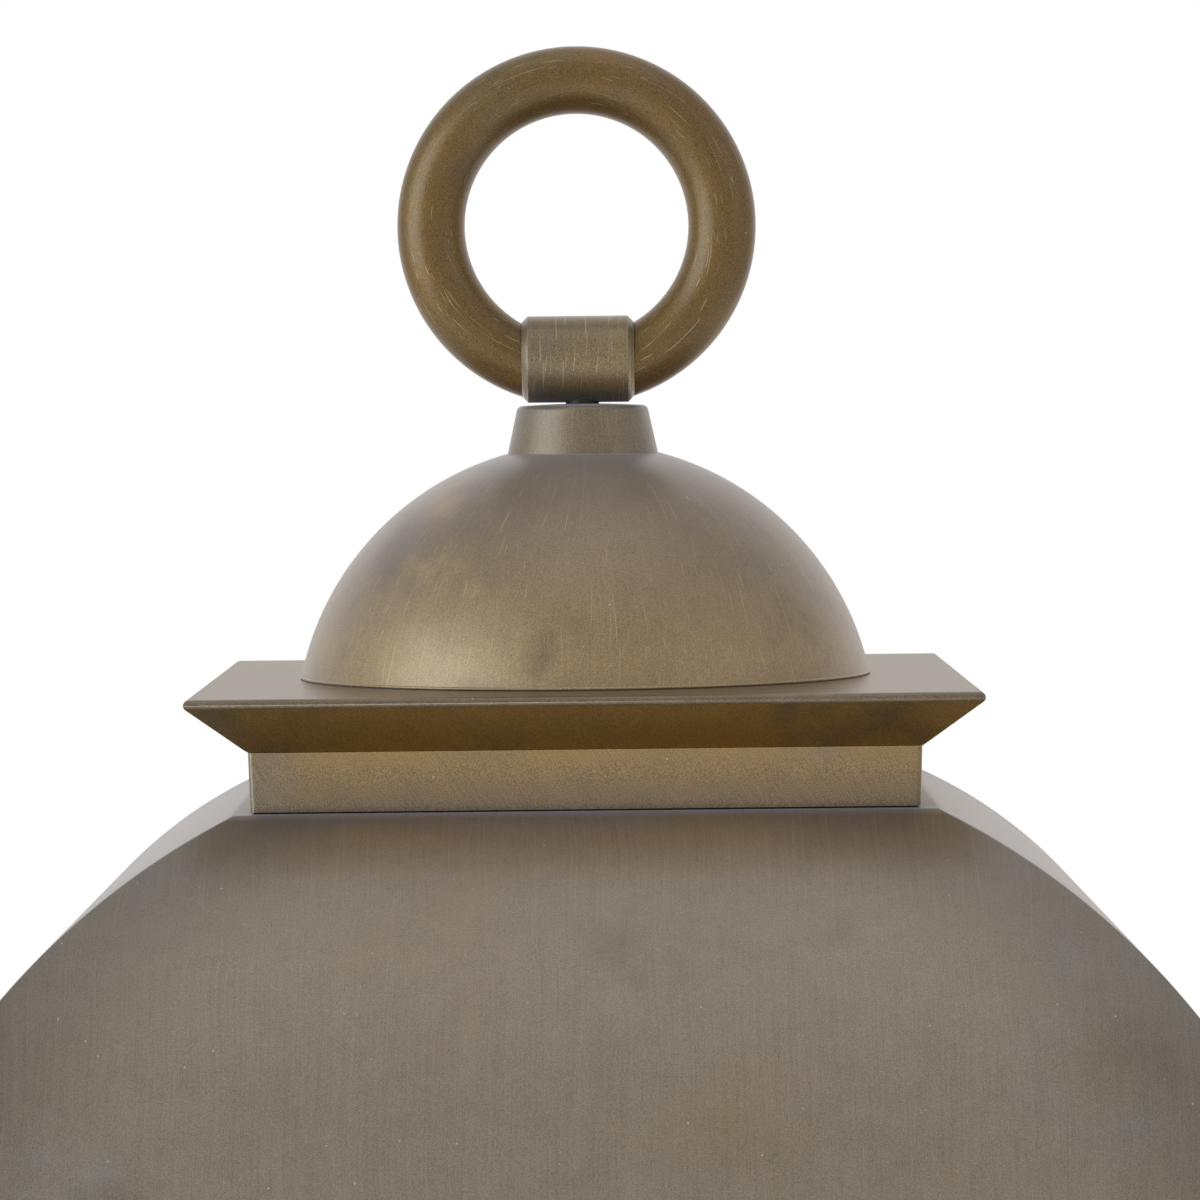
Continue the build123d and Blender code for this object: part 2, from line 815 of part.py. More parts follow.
def door_leaf_screws():
    """Screws of the leaves on the front of the door."""
    x = cage_half - door_leaf_w / 2
    y = door_front_y - leaf_t
    return [(x, y, z + dz) for z in hinge_heights() for dz in (-hinge_screw_offset, hinge_screw_offset)]


def hinge_post_leaves():
    """Leaves with the outer knuckles, screwed to the side of the post."""
    clear_y = hinge_y + barrel_r + barrel_clear
    leaves = []
    for z in hinge_heights():
        low, high = z - hinge_h / 2 + knuckle_gap / 2, z + hinge_h / 2 - knuckle_gap / 2
        leaf = block(cage_half, cage_half + leaf_t, clear_y, hinge_y + post_leaf_w, low, high)
        for number in (0, 2):
            k_low, k_high = knuckle_limits(z, number)
            leaf += block(cage_half, cage_half + leaf_t, hinge_y, clear_y, k_low, k_high)
            leaf += knuckle(z, number)
        leaf -= pin_bore(z)
        for point in post_leaf_screws():
            leaf -= aimed(hole(leaf_t), point, (1, 0, 0))
        leaves.append(leaf)
    return group(leaves)


def hinge_door_leaves():
    """Leaves with the middle knuckle, wrapped round the edge of the door."""
    clear_y = hinge_y - barrel_r - barrel_clear
    front_y = door_front_y - leaf_t
    leaves = []
    for z in hinge_heights():
        low, high = z - hinge_h / 2 + knuckle_gap / 2, z + hinge_h / 2 - knuckle_gap / 2
        leaf = block(cage_half - door_leaf_w, cage_half + leaf_t, front_y, door_front_y, low, high)
        leaf += block(cage_half, cage_half + leaf_t, front_y, clear_y, low, high)
        k_low, k_high = knuckle_limits(z, 1)
        leaf += block(cage_half, cage_half + leaf_t, clear_y, hinge_y, k_low, k_high)
        leaf += knuckle(z, 1)
        leaf -= pin_bore(z)
        for point in door_leaf_screws():
            leaf -= aimed(hole(leaf_t), point, (0, -1, 0))
        leaves.append(leaf)
    return group(leaves)


def hinge_pins():
    """Pins with a round head at each end."""
    pins = []
    for z in hinge_heights():
        low, high = z - hinge_h / 2, z + hinge_h / 2
        pin = disc(pin_r, low, high)
        for start, end in ((low - pin_head_h, low), (high, high + pin_head_h)):
            head = disc(pin_head_r, start, end)
            pin += fillet(head.edges().filter_by(GeomType.CIRCLE), pin_head_h / 3)
        pins.append(Pos(hinge_x, hinge_y, 0) * pin)
    return group(pins)


def hinge_post_screws():
    """Screws through the post leaves."""
    return group(aimed(screw(leaf_t + post_t), point, (1, 0, 0)) for point in post_leaf_screws())


def hinge_door_screws():
    """Screws through the door leaves."""
    return group(aimed(screw(leaf_t + door_screw_depth), point, (0, -1, 0)) for point in door_leaf_screws())


# Latch, drawn up +Z from the door's front, then aimed out of it
def latch_knob():
    """Turn-button outside, with the spindle that goes through the door."""
    rose = disc(rose_r, loose_gap, loose_gap + rose_h)
    rose = fillet(rose.edges().filter_by(GeomType.CIRCLE).sort_by(Axis.Z)[-1], rose_h / 2)
    stem_top = loose_gap + rose_h + grip_stem_h
    stem = disc(grip_stem_r, loose_gap + rose_h, stem_top)
    grip = Pos(0, 0, stem_top) * extrude(SlotOverall(grip_len, grip_w), grip_h)
    grip = fillet(grip.edges().group_by(Axis.Z)[-1], grip_w / 5)
    depth = tongue_front_y + tongue_t - door_front_y
    spindle = disc(spindle_r, -depth, loose_gap)
    rivet = disc(rivet_r, -depth - rivet_h, -depth)
    knob = rose + stem + grip + spindle + rivet
    upright = Plane(origin=(latch_x, door_front_y, cage_mid_z), x_dir=(0, 0, 1), z_dir=(0, -1, 0))
    return upright * knob


def latch_tongue():
    """Tongue on the spindle's inner end, hanging clear of the post."""
    plate = extrude(SlotOverall(tongue_reach + tongue_w / 2, tongue_w), tongue_t)
    plate = Pos((tongue_reach - tongue_w / 2) / 2, 0, 0) * plate
    plate -= disc(spindle_r + running_gap, 0, tongue_t)
    hanging = Plane(origin=(latch_x, tongue_front_y, cage_mid_z), x_dir=(0, 0, -1), z_dir=(0, 1, 0))
    return hanging * plate


# Base
def base_tray():
    """Plate under the cage that carries the lamps."""
    plate = square_block(tray_half, tray_foot_z, cage_foot_z)
    plate = fillet(plate.edges().filter_by(Plane.XY), tray_t / 3)
    plate -= disc(nipple_r + running_gap, tray_foot_z, cage_foot_z)
    for x, y, z in base_screw_points():
        plate -= Pos(x, y, z) * disc(screw_r + running_gap, -2 * tray_t, 1.0)
    return plate


def base_outline(inset, foot_z):
    """Square coved bowl under the tray, its faces moved in by a wall."""
    radius = base_cove_r + inset
    top_z = tray_foot_z
    step_z = base_cove_z + radius
    cove = CenterArc((base_cove_x, base_cove_z), radius, 90, 90)
    side = Polyline((0, top_z), (base_half - inset, top_z), (base_half - inset, step_z), cove @ 0)
    if foot_z < base_cove_z:
        foot = Polyline(cove @ 1, (base_cove_x - radius, foot_z), (0, foot_z))
    else:
        foot = Line(cove @ 1, (0, base_cove_z))
    return four_sided(side, cove, foot)


def base_moulding():
    """Hollow coved base with a floor for the drop finial."""
    shell = base_outline(0, base_foot_z) - base_outline(base_wall, base_cove_z)
    return shell - disc(nipple_r + running_gap, base_foot_z, base_cove_z)


def base_nipple():
    """Threaded tube from the hub down to the drop finial."""
    low = base_foot_z - nipple_grip
    high = cage_foot_z + hub_h + nut_h
    return disc(nipple_r, low, high) - disc(nipple_bore_r, low, high)


def drop_finial():
    """Turned ball under the base, screwed on the nipple."""
    neck_z = base_foot_z - flange_h - drop_neck_h
    ball_rise = math.sqrt(drop_ball_r**2 - drop_neck_r**2)
    ball_z = neck_z - ball_rise
    tip_drop = math.sqrt(drop_ball_r**2 - drop_tip_r**2)
    upper = math.degrees(math.asin(ball_rise / drop_ball_r))
    lower = -math.degrees(math.asin(tip_drop / drop_ball_r))
    ball = CenterArc((0, ball_z), drop_ball_r, lower, upper - lower)
    flange_z = base_foot_z - flange_h
    top = Polyline(
        ball @ 1, (drop_neck_r, flange_z), (flange_r, flange_z), (flange_r, base_foot_z), (0, base_foot_z)
    )
    tip_z = ball_z - tip_drop - drop_tip_h
    tip = Polyline((0, base_foot_z), (0, tip_z), (drop_tip_r * 0.6, tip_z), ball @ 0)
    body = turned(top, ball, tip)
    rim = body.edges().filter_by(GeomType.CIRCLE).group_by(SortBy.RADIUS)[-1]
    body = fillet(rim, flange_h / 3)
    return body - disc(nipple_r + running_gap, base_foot_z - nipple_grip, base_foot_z)


# Lamp cluster
def lamp_hub():
    """Spun cup on the tray that the arms leave from."""
    top_z = cage_foot_z + hub_h
    cup = disc(hub_r, cage_foot_z, top_z)
    cup = fillet(cup.edges().filter_by(GeomType.CIRCLE).sort_by(Axis.Z)[-1], hub_wall * 1.5)
    cup -= disc(hub_r - hub_wall, cage_foot_z, top_z - hub_wall)
    cup -= disc(nipple_r + running_gap, top_z - hub_wall, top_z)
    for hole_tool in lamp_copies(arm_run(arm_tube_r + running_gap)):
        cup -= hole_tool
    return cup


def lamp_copies(shape):
    """A shape drawn for the lamp on the left of the front, copied to each lamp."""
    return all_round(shape, lamp_count, start=90)


def arm_path():
    """Middle line of one arm, out along +X and up."""
    start = (hub_r - 2 * hub_wall, 0, arm_z)
    corner = (lamp_circle_r, 0, arm_z)
    return FilletPolyline(start, corner, (lamp_circle_r, 0, arm_top_z), radius=arm_bend_r)


def arm_run(radius):
    """Round bar along one arm."""
    path = arm_path()
    return sweep(Plane(origin=path @ 0, z_dir=path % 0) * Circle(radius), path=path)


def lamp_arms():
    """Bent tubes from the hub to the sockets."""
    return group(lamp_copies(arm_run(arm_tube_r) - arm_run(arm_bore_r)))


def at_lamp(shape):
    """A shape drawn on the axis, copied to each lamp's own axis."""
    return group(lamp_copies(Pos(lamp_circle_r, 0, 0) * shape))


def drip_cups():
    """Shallow dishes under the candles."""
    rim_z = cup_z + cup_h
    dish = turned_outline(
        (arm_tube_r + running_gap, cup_z),
        (candle_r + loose_gap, cup_z),
        (cup_r, rim_z),
        (cup_r - cup_t, rim_z),
        (candle_r + loose_gap, candle_foot_z),
        (arm_tube_r + running_gap, candle_foot_z),
    )
    return at_lamp(dish)


def candle_sleeves():
    """Plain tubes that hide the sockets."""
    tube = disc(candle_r, candle_foot_z, candle_top_z)
    return at_lamp(tube - disc(candle_r - candle_t, candle_foot_z, candle_top_z))


def lamp_sockets():
    """Small screw sockets on the ends of the arms."""
    body = disc(socket_r, socket_foot_z, socket_top_z)
    body -= disc(arm_tube_r + running_gap, socket_foot_z, arm_top_z)
    return at_lamp(body - disc(socket_bore_r, socket_top_z - cap_len, socket_top_z))


def bulb_caps():
    """Screw caps of the bulbs, standing in the sockets."""
    foot_z = socket_top_z - cap_len
    shoulder_z = foot_z + cap_tip_h + cap_cone_h
    cap = turned_outline(
        (0, foot_z),
        (cap_tip_r, foot_z),
        (cap_tip_r, foot_z + cap_tip_h),
        (cap_r, shoulder_z),
        (cap_r, socket_top_z),
        (0, socket_top_z),
    )
    return at_lamp(cap)


def bulb_solid(inset):
    """Candle-shaped bulb, its face moved in by a wall."""
    foot = (bulb_neck_r - inset, socket_top_z)
    belly = (bulb_r - inset, socket_top_z + bulb_belly_h)
    tip = (bulb_tip_r, socket_top_z + bulb_h - inset)
    lower = Spline(foot, belly, tangents=((0, 1), (0, 1)))
    upper = Spline(belly, tip, tangents=((0, 1), (-0.6, 1)))
    closing = Polyline(tip, (0, tip[1]), (0, foot[1]), foot)
    return turned(lower, upper, closing)


def bulb_glass():
    """Thin clear envelopes."""
    return at_lamp(bulb_solid(0) - bulb_solid(bulb_wall))


def bulb_stems():
    """Glass stems inside the bulbs."""
    return at_lamp(disc(stem_r, socket_top_z, socket_top_z + stem_h))


def bulb_filaments():
    """Four upright filaments between two small plates."""
    low = socket_top_z + stem_h
    high = low + filament_len
    edge_r = filament_circle_r + 2 * filament_r
    lit = disc(edge_r, low, low + filament_plate_h) + disc(edge_r, high - filament_plate_h, high)
    for rod in all_round(Pos(filament_circle_r, 0, 0) * disc(filament_r, low, high), filament_count):
        lit += rod
    return at_lamp(lit)


# Wall side
def wall_block(width, height, y0, y1):
    """Upright plate centred on the fixing."""
    return block(-width / 2, width / 2, y0, y1, -height / 2, height / 2)


def arm_heights():
    """Middle of the upper and the lower wall arm."""
    return [arm_offset, -arm_offset]


def arm_screw_places():
    """Where each wall arm's flanges are screwed, seen along Y."""
    return [(side * arm_screw_offset, z) for side in (-1, 1) for z in arm_heights()]


def backplate():
    """Stepped pan that covers the outlet box, open at the back."""
    rim = wall_block(plate_w, plate_tall, plate_step_y, plate_back_y)
    rim = fillet(rim.faces().sort_by(Axis.Y)[0].edges(), plate_edge_r)
    width = plate_w - 2 * plate_step
    height = plate_tall - 2 * plate_step
    raised = wall_block(width, height, plate_front_y, plate_back_y)
    raised = fillet(raised.faces().sort_by(Axis.Y)[0].edges(), plate_edge_r)
    pan = rim + raised
    walls = 2 * plate_wall
    pan -= wall_block(plate_w - walls, plate_tall - walls, plate_step_y + plate_wall, plate_back_y)
    pan -= wall_block(width - walls, height - walls, plate_front_y + plate_wall, plate_back_y)
    for x, z in arm_screw_places():
        pan -= aimed(hole(2 * plate_wall), (x, plate_front_y, z), (0, -1, 0))
    for x in (-stud_offset, stud_offset):
        pan -= aimed(hole(2 * plate_wall, stud_r + loose_gap), (x, plate_front_y, 0), (0, -1, 0))
    wire = hole(2 * plate_wall, wire_hole_r)
    return pan - aimed(wire, (0, plate_front_y, -arm_offset), (0, -1, 0))


def wall_gasket():
    """Foam frame between the backplate and the wall."""
    width = plate_w - 2 * wall_gasket_inset
    height = plate_tall - 2 * wall_gasket_inset
    frame = wall_block(width, height, plate_back_y, 0)
    return frame - wall_block(width - 2 * wall_gasket_w, height - 2 * wall_gasket_w, plate_back_y, 0)


def mounting_strap():
    """Steel strap with slots for the outlet box, flat on the wall."""
    strap = wall_block(strap_len, strap_w, -strap_t, 0)
    for x in (-slot_spacing / 2, slot_spacing / 2):
        slot = extrude(SlotOverall(slot_len, 2 * slot_r), strap_t)
        strap -= Plane(origin=(x, 0, 0), x_dir=(1, 0, 0), z_dir=(0, -1, 0)) * slot
    for x, radius in ((0, strap_hole_r), (ground_offset, screw_r + running_gap)):
        strap -= aimed(hole(strap_t, radius), (x, -strap_t, 0), (0, -1, 0))
    for x in (-stud_offset, stud_offset):
        strap -= aimed(hole(strap_t, stud_r + running_gap), (x, -strap_t, 0), (0, -1, 0))
    return strap


def canopy_studs():
    """Studs from the strap through the backplate."""
    end_y = plate_front_y - cap_nut_depth
    stud = disc(stud_r, 0, -end_y)
    return group(aimed(stud, (x, 0, 0), (0, -1, 0)) for x in (-stud_offset, stud_offset))


def cap_nuts():
    """Domed nuts that draw the backplate to the wall."""
    body = extrude(RegularPolygon(cap_nut_flats / 2, 6, major_radius=False), cap_nut_hex_h)
    dome = Pos(0, 0, cap_nut_hex_h) * Sphere(cap_nut_dome_r)
    dome &= disc(cap_nut_dome_r, cap_nut_hex_h, cap_nut_hex_h + cap_nut_dome_r)
    nut = body + dome - disc(stud_r + running_gap, 0, cap_nut_depth + running_gap)
    return group(aimed(nut, (x, plate_front_y, 0), (0, -1, 0)) for x in (-stud_offset, stud_offset))


def ground_screw():
    """Earth screw on the strap."""
    return aimed(screw(strap_t, head_r=ground_head_r), (ground_offset, -strap_t, 0), (0, -1, 0))


def wall_arm(z):
    """Hollow cast arm with a flange at each end."""
    length = plate_front_y - panel_back_y
    tube = extrude(RectangleRounded(2 * arm_half, 2 * arm_half, arm_edge_r), length)
    for start in (0, length - arm_flange_t):
        plate = extrude(RectangleRounded(2 * arm_flange_half, 2 * arm_flange_half, arm_edge_r), arm_flange_t)
        tube += Pos(0, 0, start) * plate
    inner = arm_half - arm_wall
    tube -= block(-inner, inner, -inner, inner, 0, length)
    for x in (-arm_screw_offset, arm_screw_offset):
        tube -= Pos(x, 0, 0) * disc(screw_r + running_gap, 0, arm_flange_t)
        tube -= Pos(x, 0, 0) * disc(screw_r + running_gap, length - arm_flange_t, length)
    return Plane(origin=(0, plate_front_y, z), x_dir=(1, 0, 0), z_dir=(0, -1, 0)) * tube


def arm_screws():
    """Screws that hold the wall arms to the backplate and to the back panel."""
    screws = []
    for x, z in arm_screw_places():
        screws.append(aimed(screw(plate_wall + screw_grip), (x, plate_front_y + plate_wall, z), (0, 1, 0)))
        screws.append(aimed(screw(panel_t + screw_grip), (x, panel_back_y - panel_t, z), (0, -1, 0)))
    return group(screws)


def wire_bushing():
    """Rubber bushing where the leads come through the back panel."""
    body = disc(wire_hole_r, -bushing_lip_t, panel_t + bushing_lip_t)
    for start in (-bushing_lip_t, panel_t):
        body += disc(wire_hole_r + bushing_lip, start, start + bushing_lip_t)
    body -= disc(bushing_bore_r, -bushing_lip_t, panel_t + bushing_lip_t)
    return aimed(body, (0, panel_back_y, -arm_offset), (0, -1, 0))


# Everything, by node name
lantern_nodes = {
    "finial_ring": finial_ring(),
    "ring_sleeve": ring_sleeve(),
    "collar": collar(),
    "dome_cap": dome_cap(),
    "dome_gasket": dome_gasket(),
    "cornice": cornice(),
    "neck_gasket": neck_gasket(),
    "roof_shell": roof_shell(),
    "roof_rim": roof_rim(),
    "centre_rod": centre_rod(),
    "crossbar": crossbar(),
    "crossbar_screws": crossbar_screws(),
    "rod_washers": rod_washers(),
    "rod_nuts": rod_nuts(),
    "top_frame": top_frame(),
    "bottom_frame": bottom_frame(),
    "corner_posts": corner_posts(),
    "frame_screws": frame_screws(),
    "roof_screws": roof_screws(),
    "base_screws": base_screws(),
    "glass_left": side_glass(-1),
    "glass_right": side_glass(1),
    "glass_clips": glass_clips(),
    "glass_clip_screws": glass_clip_screws(),
    "door_frame": door_frame(),
    "door_glass": door_glass(),
    "door_clips": door_clips(),
    "door_clip_screws": door_clip_screws(),
    "hinge_post_leaves": hinge_post_leaves(),
    "hinge_door_leaves": hinge_door_leaves(),
    "hinge_pins": hinge_pins(),
    "hinge_post_screws": hinge_post_screws(),
    "hinge_door_screws": hinge_door_screws(),
    "latch_knob": latch_knob(),
    "latch_tongue": latch_tongue(),
    "base_tray": base_tray(),
    "base_moulding": base_moulding(),
    "base_nipple": base_nipple(),
    "hub_nut": Pos(0, 0, cage_foot_z + hub_h) * hex_nut(1.6 * nut_flats, nut_h, nipple_r + running_gap),
    "drop_finial": drop_finial(),
    "lamp_hub": lamp_hub(),
    "lamp_arms": lamp_arms(),
    "drip_cups": drip_cups(),
    "candle_sleeves": candle_sleeves(),
    "lamp_sockets": lamp_sockets(),
    "bulb_caps": bulb_caps(),
    "bulb_glass": bulb_glass(),
    "bulb_stems": bulb_stems(),
    "bulb_filaments": bulb_filaments(),
}
wall_nodes = {
    "back_panel": back_panel(),
    "backplate": backplate(),
    "wall_gasket": wall_gasket(),
    "mounting_strap": mounting_strap(),
    "canopy_studs": canopy_studs(),
    "cap_nuts": cap_nuts(),
    "ground_screw": ground_screw(),
    "upper_arm": wall_arm(arm_offset),
    "lower_arm": wall_arm(-arm_offset),
    "arm_screws": arm_screws(),
    "wire_bushing": wire_bushing(),
}

os.makedirs("parts", exist_ok=True)
for name, shape in lantern_nodes.items():
    export_step(on_axis(shape), f"parts/{name}.step")
for name, shape in wall_nodes.items():
    export_step(shape, f"parts/{name}.step")
print(len(lantern_nodes) + len(wall_nodes), "nodes written")
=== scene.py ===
import math

import bmesh
import bpy
from mathutils import Matrix, Vector


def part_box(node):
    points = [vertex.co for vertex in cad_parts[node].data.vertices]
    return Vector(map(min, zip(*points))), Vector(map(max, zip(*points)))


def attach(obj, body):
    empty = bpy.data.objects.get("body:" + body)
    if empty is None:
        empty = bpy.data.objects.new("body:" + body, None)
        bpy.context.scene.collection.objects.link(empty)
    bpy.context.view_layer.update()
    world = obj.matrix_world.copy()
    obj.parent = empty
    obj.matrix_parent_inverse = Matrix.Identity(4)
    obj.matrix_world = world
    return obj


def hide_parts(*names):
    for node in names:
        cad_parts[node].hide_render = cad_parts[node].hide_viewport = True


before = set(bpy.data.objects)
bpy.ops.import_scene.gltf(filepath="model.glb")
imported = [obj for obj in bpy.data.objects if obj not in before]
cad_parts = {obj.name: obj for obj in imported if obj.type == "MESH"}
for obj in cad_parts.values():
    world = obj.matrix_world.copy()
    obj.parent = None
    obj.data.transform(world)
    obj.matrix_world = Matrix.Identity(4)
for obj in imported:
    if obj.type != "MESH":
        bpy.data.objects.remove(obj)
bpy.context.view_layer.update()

# %% [markdown]
# # A domed wall lantern with a ring on top
#
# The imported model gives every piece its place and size. This script dresses it: ring, collar,
# dome, cornice, roof, rim, base and drop finial are modelled again with finer curves and soft
# edges, the other pieces keep their solids and get softened edges, and everything gets a worn
# bronze, steel, glass or rubber finish worked out by shader nodes. Lengths are metres.


# %% [markdown]
# ## Places
# Every piece of the lantern is drawn about its upright axis. The axis and the main heights are
# read from the solids, so that a piece made here always meets the one that carries it.

# %% Axis and heights of the lantern
def low(node):
    """Lowest corner of a solid."""
    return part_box(node)[0]


def high(node):
    """Highest corner of a solid."""
    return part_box(node)[1]


near, far = low("roof_rim"), high("roof_rim")
axis = Vector(((near.x + far.x) / 2, (near.y + far.y) / 2, 0))
cornice_top = high("cornice").z
cornice_half = high("cornice").x
neck_foot = low("cornice").z
crease_drop = 0.0096        # from the cornice's top to the crease where its neck begins
roof_top = high("roof_shell").z
roof_foot = low("roof_shell").z
print("axis", [round(value, 4) for value in axis], "cornice top", round(cornice_top, 4))

# %% [markdown]
# ## Camera
# The picture was taken with a long lens, about a metre in front of the lantern and a little above
# the cornice, tipped down slightly and rolled a fraction of a degree. A long lens keeps the
# square cornice nearly flat, so the focal length matters more than the distance for the look.

# %% Camera at the picture's viewpoint
view_distance = 0.998       # from the axis of the lantern
view_above_cornice = 0.0523
view_side = 0.0033
lens_mm = 166.6
sensor_mm = 36.0
tip_down = math.radians(2.226)
turn_aside = math.radians(0.03)
roll = math.radians(-0.63)

camera = bpy.data.objects.new("camera", bpy.data.cameras.new("camera"))
camera.data.lens = lens_mm
camera.data.sensor_width = sensor_mm
stand = Vector((axis.x + view_side, axis.y - view_distance, cornice_top + view_above_cornice))
aim = Matrix.Rotation(turn_aside, 4, "Z") @ Matrix.Rotation(math.pi / 2 - tip_down, 4, "X")
camera.matrix_world = Matrix.Translation(stand) @ aim @ Matrix.Rotation(roll, 4, "Z")
bpy.context.scene.collection.objects.link(camera)
bpy.context.scene.camera = camera
print("camera at", [round(value, 3) for value in stand])

# %% [markdown]
# ## Shader helpers
# Node trees are long to write by hand, so a few small helpers add a node, set or link its inputs
# and hand back the output. A tree can then be read almost like a formula.


# %% Helpers for node trees
def feed(tree, socket, value):
    """Links a socket to another one, or sets it to a constant."""
    if isinstance(value, bpy.types.NodeSocket):
        tree.links.new(value, socket)
    else:
        socket.default_value = value


def add_node(tree, kind, inputs=None, **settings):
    """New shader node with its settings and inputs filled in."""
    made = tree.nodes.new("ShaderNode" + kind)
    for name, value in settings.items():
        setattr(made, name, value)
    for key, value in (inputs or {}).items():
        feed(tree, made.inputs[key], value)
    return made


def calc(tree, operation, *values, clamp=False):
    """Result of a Math node."""
    inputs = dict(enumerate(values))
    made = add_node(tree, "Math", inputs, operation=operation, use_clamp=clamp)
    return made.outputs[0]


def vector_calc(tree, operation, *values):
    """Result of a Vector Math node: a number for a length or dot product, else a vector."""
    made = add_node(tree, "VectorMath", dict(enumerate(values)), operation=operation)
    return made.outputs["Value" if operation in ("LENGTH", "DOT_PRODUCT") else "Vector"]


def ramp(tree, value, start, end, out_start=0.0, out_end=1.0):
    """Value eased from one range to another and held at its ends."""
    inputs = {0: value, 1: start, 2: end, 3: out_start, 4: out_end}
    made = add_node(tree, "MapRange", inputs, interpolation_type="SMOOTHSTEP")
    return made.outputs[0]


def spread(tree, value, out_start, out_end):
    """Noise, which mostly lies between 0.3 and 0.7, spread over a range."""
    return ramp(tree, value, 0.3, 0.7, out_start, out_end)


def noise(tree, vector, scale, detail=2.0, roughness=0.5):
    """Soft noise from 0 to 1."""
    inputs = {"Vector": vector, "Scale": scale, "Detail": detail, "Roughness": roughness}
    return add_node(tree, "TexNoise", inputs).outputs["Fac"]


def blend(tree, mask, first, second, way="MIX"):
    """Colour blended from the first to the second by a mask."""
    made = add_node(tree, "Mix", data_type="RGBA", blend_type=way)
    for key, value in ((0, mask), (6, first), (7, second)):
        feed(tree, made.inputs[key], value)
    return made.outputs[2]


def leaned(tree, vector, degrees):
    """Vector turned about its Y direction."""
    inputs = {"Vector": vector, "Rotation": (0.0, math.radians(degrees), 0.0)}
    return add_node(tree, "Mapping", inputs).outputs["Vector"]


def new_group(name, inputs, outputs):
    """Shader node group. Returns its tree, the sockets that bring values and those that take them."""
    tree = bpy.data.node_groups.new(name, "ShaderNodeTree")
    kinds = {1: "Float", 3: "Vector", 4: "Color"}
    for label, value in inputs.items():
        kind = kinds[len(value) if isinstance(value, tuple) else 1]
        socket = tree.interface.new_socket(label, in_out="INPUT", socket_type="NodeSocket" + kind)
        socket.default_value = value
    for label, kind in outputs.items():
        tree.interface.new_socket(label, in_out="OUTPUT", socket_type="NodeSocket" + kind)
    brought = tree.nodes.new("NodeGroupInput").outputs
    return tree, brought, tree.nodes.new("NodeGroupOutput").inputs


def use_group(tree, group, **inputs):
    """Outputs of a group placed in a tree. Input names have underscores for spaces."""
    made = add_node(tree, "Group", node_tree=group)
    for label, value in inputs.items():
        feed(tree, made.inputs[label.replace("_", " ")], value)
    return made.outputs


# %% [markdown]
# ## Which way the brushing runs
# Bronze is rubbed by hand, and the marks follow the piece: down the slope of the roof, over the
# dome, along the bar of the ring. Noise turns into scratches when its space is stretched, so each
# kind of piece needs a space whose directions follow its shape. Three groups make these spaces
# from Object coordinates: one for square pieces, one for turned ones and one for the ring.

# %% Group: space that follows the four sides of a square piece
tree, got, out = new_group(
    "four sided space",
    {"Place": (0.0, 0.0, 0.0)},
    {"Space": "Vector", "From hip": "Float"},
)
parts = add_node(tree, "SeparateXYZ", {0: got["Place"]}).outputs
reach_x = calc(tree, "ABSOLUTE", parts["X"])
reach_y = calc(tree, "ABSOLUTE", parts["Y"])
from_hip = calc(tree, "SUBTRACT", reach_x, reach_y)
is_side = calc(tree, "GREATER_THAN", from_hip, 0.0)
swapped = {"X": parts["Y"], "Y": parts["X"], "Z": parts["Z"]}
turned_over = add_node(tree, "CombineXYZ", swapped).outputs[0]
choice = {0: is_side, 4: got["Place"], 5: turned_over}
both = add_node(tree, "Mix", choice, data_type="VECTOR")
feed(tree, out["Space"], both.outputs[1])
feed(tree, out["From hip"], calc(tree, "ABSOLUTE", from_hip))
side_space = tree

# %% Group: space that follows a turned piece
tree, got, out = new_group(
    "turned space", {"Place": (0.0, 0.0, 0.0), "Reach": 0.03}, {"Space": "Vector"}
)
parts = add_node(tree, "SeparateXYZ", {0: got["Place"]}).outputs
flat = add_node(tree, "CombineXYZ", {"X": parts["X"], "Y": parts["Y"]}).outputs[0]
heading = vector_calc(tree, "NORMALIZE", flat)
reach = {0: heading, "Scale": got["Reach"]}
around = add_node(tree, "VectorMath", reach, operation="SCALE").outputs[0]
lift = add_node(tree, "CombineXYZ", {"Z": parts["Z"]}).outputs[0]
feed(tree, out["Space"], vector_calc(tree, "ADD", around, lift))
round_space = tree

# %% Group: space that follows the bar of the ring
tree, got, out = new_group(
    "ring space", {"Place": (0.0, 0.0, 0.0), "Reach": 0.026}, {"Space": "Vector"}
)
parts = add_node(tree, "SeparateXYZ", {0: got["Place"]}).outputs
flat = add_node(tree, "CombineXYZ", {"X": parts["X"], "Z": parts["Z"]}).outputs[0]
distance = vector_calc(tree, "LENGTH", flat)
turn = calc(tree, "ARCTAN2", parts["X"], parts["Z"])       # its seam is inside the barrel
arc = calc(tree, "MULTIPLY", turn, got["Reach"])
unrolled = {"X": distance, "Y": parts["Y"], "Z": arc}
feed(tree, out["Space"], add_node(tree, "CombineXYZ", unrolled).outputs[0])
ring_space = tree
print("spaces:", side_space.name, "/", round_space.name, "/", ring_space.name)

# %% [markdown]
# ## Worn bronze
# The finish on the real lantern is brass darkened in an acid bath, rubbed back by hand and sealed.
# It is never one colour: clouds of tan, grey and brown drift over it, the rubbing leaves fine
# gold hairlines in patches, tiny pale specks sit in the sealer, and edges are rubbed brighter.
# Three groups make that. The hairlines are the dots of a Voronoi texture, drawn out into lines
# by a stretched space, and each cell's own colour says how strong its line is. The last group
# also lays in a painted warm reflection and a painted shade where a material asks for them.

# %% Group: hairlines
line_slants = ((1.0, 0.22, 0.0), (-5.0, 0.2, 0.7))      # degrees, thickness, where the patches lie
patch_start, patch_gain, patch_fade = 0.72, 0.4, 0.15
tree, got, out = new_group(
    "hairlines",
    {
        "Space": (0.0, 0.0, 0.0), "Stretch": (1.0, 1.0, 1.0), "Brush stretch": (1.0, 1.0, 1.0),
        "Place": (0.0, 0.0, 0.0), "Patch": 60.0, "Share": 0.5,
    },
    {"Mask": "Float", "Grain": "Float"},
)


